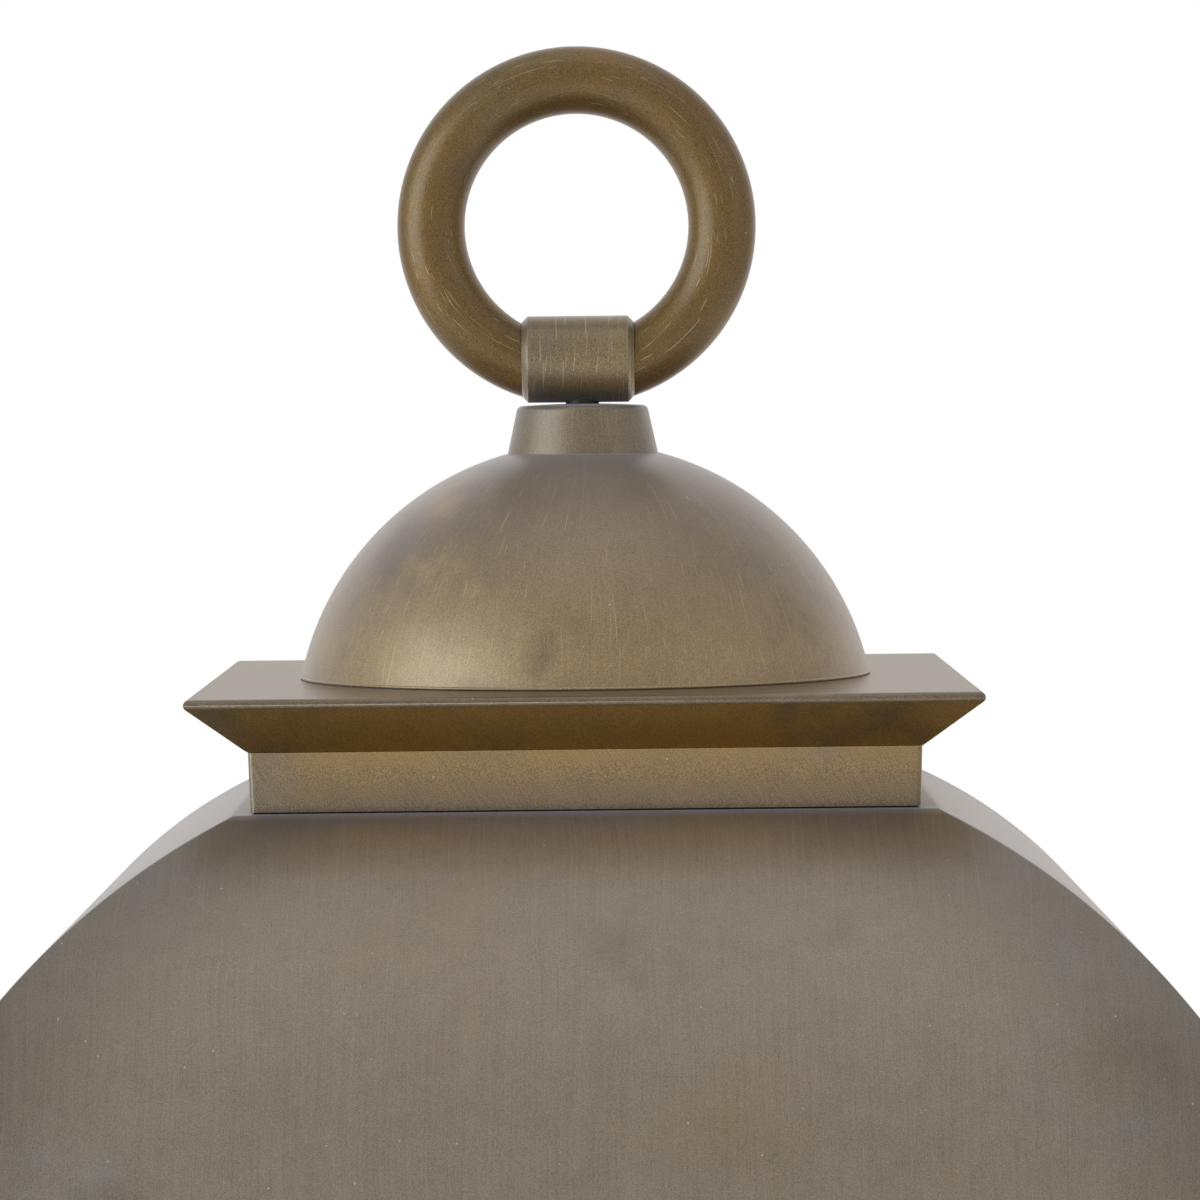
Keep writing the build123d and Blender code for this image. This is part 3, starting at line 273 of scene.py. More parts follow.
def scratches(tree, space, stretch, slant, thickness):
    """Straight marks of random length, each with its own strength, that lean by an angle."""
    drawn_out = vector_calc(tree, "MULTIPLY", leaned(tree, space, slant), stretch)
    cells = add_node(tree, "TexVoronoi", {"Vector": drawn_out, "Scale": 1.0}).outputs
    strength = add_node(tree, "SeparateColor", {0: cells["Color"]}).outputs[1]
    mark = ramp(tree, cells["Distance"], thickness, thickness * 0.5)
    return calc(tree, "MULTIPLY", mark, ramp(tree, strength, 0.15, 0.95))


def patches(tree, place, scale, share, shift):
    """Areas where the marks show."""
    value = noise(tree, vector_calc(tree, "ADD", place, shift), scale)
    start = calc(tree, "SUBTRACT", patch_start, calc(tree, "MULTIPLY", share, patch_gain))
    return ramp(tree, value, start, calc(tree, "ADD", start, patch_fade))


marks = 0.0
for slant, thickness, shift in line_slants:
    drawn = scratches(tree, got["Space"], got["Stretch"], slant, thickness)
    where = patches(tree, got["Place"], got["Patch"], got["Share"], (shift, shift, 0.0))
    marks = calc(tree, "MAXIMUM", marks, calc(tree, "MULTIPLY", drawn, where))
feed(tree, out["Mask"], marks)
brush_space = vector_calc(tree, "MULTIPLY", got["Space"], got["Brush stretch"])
feed(tree, out["Grain"], noise(tree, brush_space, 1.0, roughness=0.7))
hairlines = tree
print("hairlines have", len(hairlines.nodes), "nodes")

# %% Group: rubbed edges
edge_reach = 0.0006
tree, got, out = new_group("rubbed edges", {"Width": edge_reach}, {"Mask": "Float"})
soft = add_node(tree, "Bevel", {"Radius": got["Width"]}, samples=4)
plain = add_node(tree, "NewGeometry")
same = vector_calc(tree, "DOT_PRODUCT", soft.outputs[0], plain.outputs["Normal"])
feed(tree, out["Mask"], ramp(tree, same, 0.995, 0.85))
rubbed_edges = tree

# %% Group: clouds, specks and hairlines of worn bronze
cloud_start, cloud_gain, cloud_fade = 0.68, 0.36, 0.2
deep_closer = 1.9           # the dark clouds are smaller than the others, and partly clear
deep_strength = 0.7
tree, got, out = new_group(
    "worn bronze",
    {
        "Place": (0.0, 0.0, 0.0), "Hairline": 0.0, "Grain": 0.5, "Edge": 0.0, "Glow": 0.0,
        "Shade": 1.0, "Sand": 0.25, "Line weight": 0.5,
        "Body": (0.2, 0.17, 0.13, 1.0), "Warm": (0.3, 0.2, 0.1, 1.0), "Cool": (0.2, 0.19, 0.2, 1.0),
        "Deep": (0.1, 0.08, 0.05, 1.0), "Rubbed": (0.6, 0.45, 0.22, 1.0),
        "Cloud": 26.0, "Warm share": 0.4, "Cool share": 0.4, "Deep share": 0.3,
    },
    {"Color": "Color", "Roughness": "Float", "Height": "Float"},
)


def cloud_mask(tree, place, scale, share, shift):
    """Drifting patches that cover about a share of the surface."""
    moved = vector_calc(tree, "ADD", place, shift)
    value = noise(tree, moved, scale, detail=4.0, roughness=0.55)
    start = calc(tree, "SUBTRACT", cloud_start, calc(tree, "MULTIPLY", share, cloud_gain))
    return ramp(tree, value, start, calc(tree, "ADD", start, cloud_fade))


place = got["Place"]
warm = cloud_mask(tree, place, got["Cloud"], got["Warm share"], (0.31, 0.0, 0.0))
# Glow is a painted warm reflection, laid by height, that wins over the warm clouds where it is stronger
warm = calc(tree, "MAXIMUM", warm, got["Glow"])
cool = cloud_mask(tree, place, got["Cloud"], got["Cool share"], (0.0, 0.47, 0.0))
closer = calc(tree, "MULTIPLY", got["Cloud"], deep_closer)
deep = cloud_mask(tree, place, closer, got["Deep share"], (0.0, 0.0, 0.83))
tone = blend(tree, warm, got["Body"], got["Warm"])
tone = blend(tree, cool, tone, got["Cool"])
tone = blend(tree, calc(tree, "MULTIPLY", deep, deep_strength), tone, got["Deep"])
print("clouds in three tones")

# %% Sand, brushing and specks in the same group
sand_scale, blotch_scale, speck_scale = 5500.0, 190.0, 430.0
speck_from = 0.86           # only cells whose own value is above this have a speck
speck_colour = (0.75, 0.68, 0.55, 1.0)
speck_strength = 0.6
rub_polish = 0.12           # how much smoother a rubbed place is
relief_of = {"grain": 0.6, "sand": 0.5, "line": 0.6}
sand = noise(tree, place, sand_scale, detail=1.0, roughness=0.6)
blotch = noise(tree, place, blotch_scale, detail=3.0, roughness=0.6)
sanded = calc(tree, "MULTIPLY", spread(tree, sand, -1.0, 1.0), got["Sand"])
light = calc(tree, "ADD", sanded, spread(tree, blotch, -0.04, 0.04))
light = calc(tree, "ADD", light, spread(tree, got["Grain"], 0.9, 1.1))
# Shade is a painted shade; on the roof it darkens the faces towards the hips
light = calc(tree, "MULTIPLY", light, got["Shade"])
shade = add_node(tree, "CombineColor", {0: light, 1: light, 2: light}).outputs[0]
tone = blend(tree, 1.0, tone, shade, way="MULTIPLY")
cells = add_node(tree, "TexVoronoi", {"Vector": place, "Scale": speck_scale}).outputs
cell_value = add_node(tree, "SeparateColor", {0: cells["Color"]}).outputs[0]
picked = calc(tree, "GREATER_THAN", cell_value, speck_from)
speck = calc(tree, "MULTIPLY", ramp(tree, cells["Distance"], 0.1, 0.04), picked)
rub = calc(tree, "MULTIPLY", got["Hairline"], got["Line weight"])
rub = calc(tree, "ADD", rub, got["Edge"], clamp=True)
tone = blend(tree, rub, tone, got["Rubbed"])
speck_shows = calc(tree, "MULTIPLY", speck, speck_strength)
feed(tree, out["Color"], blend(tree, speck_shows, tone, speck_colour))
rough = spread(tree, got["Grain"], -0.04, 0.04)
rough = calc(tree, "ADD", rough, spread(tree, sand, 0.51, 0.59))
polish = calc(tree, "MULTIPLY", rub, rub_polish)
feed(tree, out["Roughness"], calc(tree, "SUBTRACT", rough, polish))
relief = calc(tree, "MULTIPLY", got["Grain"], relief_of["grain"])
relief = calc(tree, "ADD", relief, calc(tree, "MULTIPLY", sand, relief_of["sand"]))
groove = calc(tree, "MULTIPLY", got["Hairline"], relief_of["line"])
relief = calc(tree, "SUBTRACT", relief, groove)
feed(tree, out["Height"], calc(tree, "ADD", relief, speck))
worn_bronze = tree
print("worn bronze has", len(worn_bronze.nodes), "nodes")


# %% [markdown]
# ## Bronze materials
# Each bronze material chooses a space, how far it is stretched, and its colours, then hands them
# to the groups above. The Principled shader stays in the material: a metal base, a clear coat for
# the sealer and a faint sheen for the dust that greys the faces seen at a slant. What is the same
# all over a material, such as its coat, sheen and tints, is set on the shader itself.

# %% Helper that starts a material and one that makes bronze
def new_material(name):
    """Empty node material. Returns the material, its tree and its shader."""
    material = bpy.data.materials.new(name)
    material.use_nodes = True
    tree = material.node_tree
    return material, tree, tree.nodes["Principled BSDF"]


def set_constants(shader, **values):
    """Sets sockets of a shader. Names are given with underscores for spaces."""
    for label, value in values.items():
        shader.inputs[label.replace("_", " ")].default_value = value


def raised(tree, height, distance):
    """Normal of a surface raised by a height from 0 to 1, over a distance."""
    inputs = {"Height": height, "Strength": 1.0, "Distance": distance}
    return add_node(tree, "Bump", inputs).outputs[0]


def local_place(tree, centre):
    """Object coordinates counted from a centre."""
    coordinates = add_node(tree, "TexCoord").outputs["Object"]
    return vector_calc(tree, "SUBTRACT", coordinates, tuple(centre))


line_across, line_along = 2000.0, 7.0      # cells of the marks per metre
brush_across, brush_along = 5200.0, 35.0
sway_scale, sway_reach = 30.0, 0.004
hip_reach = 0.04            # how far from a hip its shade ends
relief_height = 0.00002
slant_tint = (0.6, 0.52, 0.44, 1.0)        # of the metal's mirror at a slant
coat_roughness, coat_index = 0.33, 1.65
dust_roughness, dust_tint = 0.5, (0.9, 0.89, 1.0, 1.0)
usual_amounts = {
    "reach": 0.05, "along": line_along, "patch": 60.0, "share": 0.5, "lines": 0.4, "sand": 0.25,
    "cloud": 26.0, "warm": 0.4, "cool": 0.4, "deep": 0.3, "smooth": 0.0, "coat": 0.9, "veil": 0.3,
}


def follow_shape(tree, at, space, reach):
    """Space for the marks, and the distance from a hip where there is one."""
    if space == "plain":
        return at, None
    if space == "sides":
        found = use_group(tree, side_space, Place=at)
        return found["Space"], found["From hip"]
    group = {"turned": round_space, "ring": ring_space}[space]
    return use_group(tree, group, Place=at, Reach=reach)["Space"], None


def swayed(tree, lines, at):
    """Space bent a little, so that no line is quite straight."""
    inputs = {"Vector": at, "Scale": sway_scale, "Detail": 1.0}
    drift = add_node(tree, "TexNoise", inputs).outputs["Color"]
    drift = vector_calc(tree, "SUBTRACT", drift, (0.5, 0.5, 0.5))
    drift = vector_calc(tree, "MULTIPLY", drift, (sway_reach, sway_reach, sway_reach))
    return vector_calc(tree, "ADD", lines, drift)


def by_height(tree, at, stops):
    """Mask that follows the height, through stops of a height and a value."""
    height = add_node(tree, "SeparateXYZ", {0: at}).outputs["Z"]
    lowest, highest = stops[0][0], stops[-1][0]
    above = calc(tree, "SUBTRACT", height, lowest)
    level = calc(tree, "DIVIDE", above, highest - lowest, clamp=True)
    scale = add_node(tree, "ValToRGB", {"Fac": level})
    points = scale.color_ramp.elements
    for _ in stops[2:]:
        points.new(0.5)
    for point, (stop, value) in zip(points, stops):
        point.position = (stop - lowest) / (highest - lowest)
        point.color = (value, value, value, 1.0)
    return scale.outputs["Color"]


def bronze(name, colours, space, runs_along, centre=axis, glow=None, **amounts):
    """Worn bronze whose hairlines run along the chosen directions of the given space."""
    material, tree, shader = new_material(name)
    amounts = usual_amounts | amounts
    at = local_place(tree, centre)
    lines, from_hip = follow_shape(tree, at, space, amounts["reach"])
    lines = swayed(tree, lines, at)
    if "slant" in amounts:
        lines = leaned(tree, lines, amounts["slant"])
    hair = use_group(
        tree, hairlines, Space=lines, Place=at, Patch=amounts["patch"], Share=amounts["share"],
        Stretch=tuple(amounts["along"] if runs else line_across for runs in runs_along),
        Brush_stretch=tuple(brush_along if runs else brush_across for runs in runs_along),
    )
    edge, shade = 0.0, 1.0
    if "edge" in amounts:
        found = use_group(tree, rubbed_edges, Width=edge_reach)["Mask"]
        edge = calc(tree, "MULTIPLY", found, amounts["edge"])
    # hip_shade: painted shade, darker towards the hips
    if "hip_shade" in amounts:
        shade = ramp(tree, from_hip, 0.0, hip_reach, amounts["hip_shade"], 1.0)
    # glow: painted warm reflection, laid over the heights that its stops give
    worn = use_group(
        tree, worn_bronze, Place=at, Hairline=hair["Mask"], Grain=hair["Grain"], Edge=edge,
        Glow=by_height(tree, at, glow) if glow else 0.0, Shade=shade, Sand=amounts["sand"],
        Line_weight=amounts["lines"], Cloud=amounts["cloud"],
        Warm_share=amounts["warm"], Cool_share=amounts["cool"], Deep_share=amounts["deep"],
        **{label: (*value, 1.0) for label, value in colours.items()},
    )
    feed(tree, shader.inputs["Base Color"], worn["Color"])
    rough = calc(tree, "SUBTRACT", worn["Roughness"], amounts["smooth"])
    feed(tree, shader.inputs["Roughness"], rough)
    feed(tree, shader.inputs["Normal"], raised(tree, worn["Height"], relief_height))
    set_constants(
        shader, Metallic=1.0, Specular_Tint=slant_tint,
        Coat_Weight=amounts["coat"], Coat_Roughness=coat_roughness, Coat_IOR=coat_index,
        Sheen_Weight=amounts["veil"], Sheen_Roughness=dust_roughness, Sheen_Tint=dust_tint,
    )
    return material


# %% Colours of the bronze, and its materials
plain_tones = {
    "Body": (0.25, 0.172, 0.08),
    "Warm": (0.285, 0.185, 0.068),
    "Cool": (0.24, 0.185, 0.115),
    "Deep": (0.185, 0.125, 0.058),
    "Rubbed": (0.6, 0.48, 0.27),
}
roof_tones = plain_tones | {
    "Body": (0.31, 0.253, 0.185),
    # Warm is also the colour of the roof's painted reflection of the neck
    "Warm": (0.32, 0.24, 0.145),
    "Cool": (0.295, 0.27, 0.24),
    "Deep": (0.21, 0.17, 0.117),
}
ring_tones = plain_tones | {
    "Body": (0.195, 0.106, 0.01),
    "Warm": (0.235, 0.12, 0.007),
    "Cool": (0.185, 0.12, 0.036),
    "Deep": (0.132, 0.074, 0.01),
}
cornice_tones = plain_tones | {
    "Body": (0.21, 0.155, 0.093),
    # Warm shows on the cornice only as its painted warm reflection, since its warm clouds are off
    "Warm": (0.54, 0.345, 0.1),
    "Cool": (0.26, 0.205, 0.14),
    "Deep": (0.22, 0.16, 0.08),
}
dome_tones = plain_tones | {
    "Body": (0.25, 0.182, 0.105),
    # Warm is also the colour of the dome's painted warm reflection
    "Warm": (0.48, 0.34, 0.16),
    "Cool": (0.24, 0.195, 0.145),
}
sleeve_tones = plain_tones | {
    "Body": (0.29, 0.21, 0.1),
    "Warm": (0.32, 0.22, 0.085),
    "Rubbed": (0.8, 0.6, 0.3),
}
ring_height = 0.3157        # of the ring's middle
ring_centre = Vector(((low("finial_ring").x + high("finial_ring").x) / 2, axis.y, ring_height))
flare_foot = cornice_top - crease_drop
nose_foot = cornice_top - 0.0017
# step of the cornice's painted warm reflection
painted_light_step = 0.0002          # height over which the cornice's tone changes at an edge
roof_bronze = bronze(
    "roof bronze", roof_tones, "sides", (False, True, True),
    # painted brown reflection of the neck on the top of the roof, in the cornice's shade
    glow=((roof_top - 0.008, 0.0), (roof_top - 0.001, 0.8)),
    # painted shade that darkens the roof towards its hips
    cloud=20.0, share=1.1, lines=0.34, sand=0.26, hip_shade=0.66,
)
cornice_bronze = bronze(
    "cornice bronze", cornice_tones, "sides", (False, False, True),
    # painted warm reflection: full on the sloping underside, half at the top of the neck and none at its
    # foot
    glow=(
        (neck_foot, 0.0), (flare_foot, 0.5), (flare_foot + painted_light_step, 1.0),
        (nose_foot, 1.0), (nose_foot + painted_light_step, 0.0), (cornice_top, 0.0),
    ),
    slant=35.0, along=45.0, share=0.4, lines=0.3, sand=0.34, edge=0.1,
    warm=0.0, deep=0.2, smooth=0.1, veil=0.0, coat=0.75,
)
dome_bronze = bronze(
    "dome bronze", dome_tones, "turned", (False, False, True),
    # painted warm reflection at the foot of the dome, gone 30 mm above the cornice; the drop finial, far
    # below, gets it in full
    glow=((cornice_top + 0.004, 0.75), (cornice_top + 0.03, 0.0)),
    warm=0.32, share=1.2, lines=0.7, sand=0.32, veil=0.4,
)
ring_bronze = bronze(
    "ring bronze", ring_tones, "ring", (False, False, True), centre=ring_centre,
    reach=0.026, along=12.0, share=1.2, lines=0.6, sand=0.55, veil=0.12,
)
sleeve_bronze = bronze(
    "sleeve bronze", sleeve_tones, "plain", (False, True, True),
    along=60.0, share=1.3, patch=160.0, lines=0.9, sand=0.4, edge=0.35,
)
body_bronze = bronze("body bronze", plain_tones, "sides", (False, True, True), lines=0.3, edge=0.35)
print("bronze materials", [m.name for m in bpy.data.materials if "bronze" in m.name])

# %% [markdown]
# ## Steel, glass, rubber and the rest
# The pieces inside are plainer, but each still gets the marks of how it was made: zinc plate has
# a faint crystal mottle and fine draw lines, glass is clean with a trace of dust that only
# changes its roughness, rubber is dull with fine pores, and the candle tubes are ivory card
# with long soft fibres.


# %% Other finishes
def speckled(name, first, second, scale, roughness, relief, metallic=0.0, coat=0.0, stretch=1.0):
    """Two colours drifting through fine mottle, which may be stretched along the height."""
    material, tree, shader = new_material(name)
    at = vector_calc(tree, "MULTIPLY", local_place(tree, axis), (1.0, 1.0, stretch))
    wide = calc(tree, "MULTIPLY", noise(tree, at, scale / 12, detail=3.0), 0.5)
    near = noise(tree, at, scale, detail=3.0, roughness=0.65)
    mask = ramp(tree, calc(tree, "ADD", wide, calc(tree, "MULTIPLY", near, 0.5)), 0.35, 0.65)
    feed(tree, shader.inputs["Base Color"], blend(tree, mask, (*first, 1.0), (*second, 1.0)))
    feed(tree, shader.inputs["Roughness"], spread(tree, near, *roughness))
    feed(tree, shader.inputs["Normal"], raised(tree, near, relief))
    set_constants(shader, Metallic=metallic, Coat_Weight=coat)
    return material


metal = {"metallic": 1.0}
drawn = metal | {"stretch": 0.06}       # long marks up and down
spun = metal | {"stretch": 4.0}         # flat marks, one above the other
fine = 0.00001              # relief of the smooth finishes
speckled_finishes = (       # name, two colours, scale of the mottle, roughness, relief, the rest
    ("zinc steel", (0.52, 0.53, 0.54), (0.66, 0.66, 0.65), 900.0, (0.3, 0.45), fine, metal),
    ("drawn steel", (0.46, 0.46, 0.47), (0.6, 0.6, 0.6), 1500.0, (0.3, 0.5), fine, drawn),
    ("blackened steel", (0.05, 0.043, 0.036), (0.085, 0.073, 0.06), 1500.0, (0.45, 0.6), fine, metal),
    ("screw brass", (0.42, 0.32, 0.17), (0.56, 0.43, 0.24), 1400.0, (0.3, 0.45), fine, metal),
    ("lamp cap brass", (0.6, 0.46, 0.22), (0.72, 0.57, 0.3), 1200.0, (0.22, 0.34), fine, spun),
    ("black rubber", (0.018, 0.018, 0.018), (0.035, 0.034, 0.033), 2600.0, (0.75, 0.9), 0.00004, {}),
    ("wall foam", (0.03, 0.03, 0.03), (0.06, 0.058, 0.055), 1500.0, (0.85, 0.95), 0.00012, {}),
    ("black phenolic", (0.02, 0.018, 0.016), (0.04, 0.034, 0.03), 1800.0, (0.28, 0.4), fine, {"coat": 0.3}),
    ("ivory card", (0.74, 0.66, 0.5), (0.82, 0.75, 0.6), 1300.0, (0.5, 0.65), 0.00002, {"stretch": 0.05}),
    ("filament yellow", (0.9, 0.62, 0.16), (0.95, 0.75, 0.3), 3000.0, (0.5, 0.7), fine, {}),
    ("earth green", (0.02, 0.22, 0.06), (0.04, 0.32, 0.1), 1500.0, (0.3, 0.45), fine, {"coat": 0.3}),
)
finish = {name: speckled(name, *values, **rest) for name, *values, rest in speckled_finishes}


def clear_glass(name, tint, dust):
    """Clear glass with a trace of dust in its roughness and a faint ripple."""
    material, tree, shader = new_material(name)
    at = local_place(tree, axis)
    film = ramp(tree, noise(tree, at, 90.0, detail=4.0), 0.45, 0.75, 0.0, dust)
    feed(tree, shader.inputs["Roughness"], film)
    feed(tree, shader.inputs["Normal"], raised(tree, noise(tree, at, 25.0), 0.00003))
    tinted = blend(tree, noise(tree, at, 14.0), (*tint, 1.0), (1.0, 1.0, 1.0, 1.0))
    feed(tree, shader.inputs["Base Color"], tinted)
    set_constants(shader, Transmission_Weight=1.0, IOR=1.48)
    return material


finish["pane glass"] = clear_glass("pane glass", (0.93, 0.97, 0.95), 0.06)
finish["bulb glass"] = clear_glass("bulb glass", (0.98, 0.98, 0.96), 0.02)
print(len(bpy.data.materials), "materials so far")

# %% [markdown]
# ## Drawing and turning profiles
# The pieces modelled here are either turned (dome, collar, drop finial) or square moldings with
# mitred corners (cornice, roof, rim, base). Both can be drawn as one profile and spun: more than
# a hundred steps give a round piece and four steps give a square one. For the square case the
# profile is first stretched by the root of two and turned by an eighth, so that its reach is the
# half width of the side and not of the corner.


# %% Helpers for profiles
tiny = 1e-6
crisp = 0.0004              # width of the round on the edges of bent sheet


def swing(bm, parts, centre, about, angle, steps, merge=False):
    """Spins parts of a mesh about a line. Returns the parts that end the sweep."""
    swept = bmesh.ops.spin(
        bm, geom=parts, cent=centre, axis=about, angle=angle, steps=steps,
        use_merge=merge, use_duplicate=False,
    )
    return swept["geom_last"]


def open_chain(bm, start, *moves):
    """Chain of edges in the XZ plane. A move is a point to reach or (centre, degrees, steps)."""
    tip = bmesh.ops.create_vert(bm, co=(start[0], 0, start[1]))["vert"][0]
    for move in moves:
        if len(move) == 2:
            tip = bmesh.ops.extrude_vert_indiv(bm, verts=[tip])["verts"][0]
            tip.co = (move[0], 0, move[1])
        else:
            (x, z), degrees, steps = move
            ends = swing(bm, [tip], (x, 0, z), (0, -1, 0), math.radians(degrees), steps)
            tip = [part for part in ends if isinstance(part, bmesh.types.BMVert)][0]


def spin_round(bm, steps):
    """Spins the whole chain about the upright axis and merges its ends and poles."""
    swing(bm, bm.verts[:] + bm.edges[:], (0, 0, 0), (0, 0, 1), 2 * math.pi, steps, merge=True)
    bmesh.ops.remove_doubles(bm, verts=bm.verts[:], dist=tiny)
    bmesh.ops.dissolve_degenerate(bm, edges=bm.edges[:], dist=tiny)


def spin_square(bm):
    """Spins the chain in four steps, so that its reach becomes the half width of each side."""
    bmesh.ops.scale(bm, vec=(math.sqrt(2), 1, 1), verts=bm.verts[:])
    turned = Matrix.Rotation(math.pi / 4, 3, "Z")
    bmesh.ops.rotate(bm, cent=(0, 0, 0), matrix=turned, verts=bm.verts[:])
    spin_round(bm, 4)


def hip_edges(bm, lowest, highest):
    """Edges that run along the corners of a square piece, between two heights."""
    hips = []
    for edge in bm.edges:
        first, last = (vertex.co for vertex in edge.verts)
        same_corner = first.x * last.x > 0 and first.y * last.y > 0
        inside = lowest - tiny < min(first.z, last.z) and max(first.z, last.z) < highest + tiny
        if same_corner and inside:
            hips.append(edge)
    return hips


def soften(bm, edges, width, segments=3):
    """Rounds edges."""
    bmesh.ops.bevel(
        bm, geom=edges, offset=width, offset_type="OFFSET", segments=segments, profile=0.5,
        affect="EDGES", material=-1, clamp_overlap=True,
    )


def sharp_edges(bm, degrees=25.0):
    """Edges between two faces that meet at more than an angle."""
    limit = math.radians(degrees)
    joined = [edge for edge in bm.edges if len(edge.link_faces) == 2]
    return [edge for edge in joined if edge.calc_face_angle(0.0) > limit]


def finish_piece(bm, name, body, material, replaced, centre=axis, flat_normals=True):
    """Makes an object of the mesh, in place, with its finish, body and the nodes it stands for."""
    bmesh.ops.translate(bm, vec=centre, verts=bm.verts[:])
    bmesh.ops.recalc_face_normals(bm, faces=bm.faces[:])
    mesh = bpy.data.meshes.new(name)
    bm.to_mesh(mesh)
    bm.free()
    mesh.polygons.foreach_set("use_smooth", [True] * len(mesh.polygons))
    mesh.set_sharp_from_angle(angle=math.radians(32))
    mesh.materials.append(material)
    made = bpy.data.objects.new(name, mesh)
    bpy.context.scene.collection.objects.link(made)
    if flat_normals:
        keep_flat(made)
    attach(made, body)
    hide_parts(*replaced)
    print(name, len(mesh.polygons), "faces")


def keep_flat(thing):
    """Large faces keep their own normals, so that softened edges stay narrow."""
    weighted = thing.modifiers.new("flat faces", "WEIGHTED_NORMAL")
    weighted.weight = 100
    weighted.keep_sharp = True


# %% [markdown]
# ## Ring and sleeve
# The ring is round bar bent in a circle, with both ends held in a short lying barrel. A circle of
# edges is the section of the bar, and spinning it about the ring's centre from one mouth of the
# barrel to the other makes the bend. The barrel keeps its solid, because a hole from below takes
# the rod, and only its edges are softened.

# %% The ring
ring_bar = 0.00605
ring_bend = 0.0261
ring_x = low("finial_ring").x + ring_bar + ring_bend
ring_middle = Vector((ring_x, axis.y, high("finial_ring").z - ring_bar - ring_bend))
hidden_turn = math.radians(29.0)        # left open by the spin, between the two cut ends
ring_end = 0.00905                      # the ends are cut upright, this far from the middle


def bent_ring():
    """Round bar bent from one mouth of the barrel to the other, with its ends cut upright."""
    bm = bmesh.new()
    section = bmesh.ops.create_circle(bm, cap_ends=False, segments=48, radius=ring_bar)["verts"]
    upright = Matrix.Rotation(math.pi / 2, 3, "Y")
    bmesh.ops.rotate(bm, cent=(0, 0, 0), matrix=upright, verts=section)
    bmesh.ops.translate(bm, vec=(0, 0, -ring_bend), verts=section)
    to_mouth = Matrix.Rotation(-hidden_turn / 2, 3, "Y")
    bmesh.ops.rotate(bm, cent=(0, 0, 0), matrix=to_mouth, verts=section)
    swing(bm, bm.edges[:] + bm.verts[:], (0, 0, 0), (0, -1, 0), 2 * math.pi - hidden_turn, 200)
    for side in (-1, 1):
        middles = [(face, face.calc_center_median()) for face in bm.faces]
        lower = [face for face, middle in middles if middle.z < 0 and middle.x * side > 0]
        around = {part for face in lower for part in (*face.edges, *face.verts)}
        bmesh.ops.bisect_plane(
            bm, geom=lower + list(around), plane_co=(side * ring_end, 0, 0), plane_no=(-side, 0, 0),
            clear_outer=True,
        )
    bmesh.ops.holes_fill(bm, edges=[edge for edge in bm.edges if edge.is_boundary], sides=0)
    return bm


finish_piece(
    bent_ring(), "ring_bar", "finial", ring_bronze, ["finial_ring"],
    centre=ring_middle, flat_normals=False,
)
print("ring centre", [round(value, 4) for value in ring_middle])

# %% [markdown]
# ## Collar and dome
# Both are turned on a lathe and polished with a cloth while they spin. The half section is drawn
# once as a closed chain and spun. The collar has a faintly crowned top with a rounded edge, and
# the dome is a thin shell cut from a ball, with a small flat where the collar stands and a fine
# rolled bead where it meets the cornice.

# %% Collar
rod_hole = 0.0034
collar_foot = low("collar").z
collar_top = high("collar").z
collar_reach = (high("collar").x - low("collar").x) / 2
collar_top_reach = 0.01165
collar_crown = 0.0004


def circle_edges(bm, reach, height, give=0.00012):
    """Edges of one circle of a turned piece."""
    found = []
    for edge in bm.edges:
        ends = [(math.hypot(vertex.co.x, vertex.co.y), vertex.co.z) for vertex in edge.verts]
        if all(abs(r - reach) < give and abs(z - height) < give for r, z in ends):
            found.append(edge)
    return found


def turned_collar():
    """Cone with a crowned top and a hole for the rod."""
    bm = bmesh.new()
    crown_r = (collar_top_reach**2 + collar_crown**2) / (2 * collar_crown)
    start_angle = math.degrees(math.asin(rod_hole / crown_r))
    end_angle = math.degrees(math.asin(collar_top_reach / crown_r))
    start = (rod_hole, collar_top - crown_r + math.sqrt(crown_r**2 - rod_hole**2))
    crown = ((0, collar_top - crown_r), start_angle - end_angle, 8)
    foot = (rod_hole, collar_foot)
    open_chain(bm, foot, start, crown, (collar_reach, collar_foot), foot)
    spin_round(bm, 160)
    soften(bm, circle_edges(bm, collar_top_reach, collar_top - collar_crown), 0.0008, 8)
    soften(bm, circle_edges(bm, collar_reach, collar_foot), 0.00015, 3)
    return bm


finish_piece(
    turned_collar(), "turned_collar", "finial_collar", dome_bronze, ["collar"]
)

# %% Dome
dome_reach = 0.0521
dome_middle = cornice_top - 0.0104
dome_sheet = 0.0015
dome_foot = low("dome_cap").z
dome_top = high("dome_cap").z
bead_r = 0.0003             # rolled bead that hides the seal under the dome


def dome_angles(reach):
    """Start and end of the arc, in degrees above the level through the ball's middle."""
    top = dome_top - (dome_reach - reach)
    return [math.degrees(math.asin((level - dome_middle) / reach)) for level in (dome_foot, top)]


def spun_dome():
    """Shell cut from a ball, with a rolled bead at its foot and a hole for the rod."""
    bm = bmesh.new()
    outer_start, outer_end = dome_angles(dome_reach)
    inner_reach = dome_reach - dome_sheet
    inner_start, inner_end = dome_angles(inner_reach)
    middle = (0, dome_middle)
    foot_reach = dome_reach * math.cos(math.radians(outer_start))
    inner_top = (inner_reach * math.cos(math.radians(inner_end)), dome_top - dome_sheet)
    bead = (foot_reach - bead_r / 3, cornice_top + bead_r)
    open_chain(
        bm,
        (bead[0], cornice_top),
        (bead, 150, 8),
        (foot_reach, dome_foot + bead_r),
        (middle, outer_end - outer_start, 48),
        (rod_hole, dome_top),
        (rod_hole, dome_top - dome_sheet),
        inner_top,
        (middle, inner_start - inner_end, 32),
        (bead[0] - dome_sheet, cornice_top),
        (bead[0], cornice_top),
    )
    spin_round(bm, 192)
    return bm


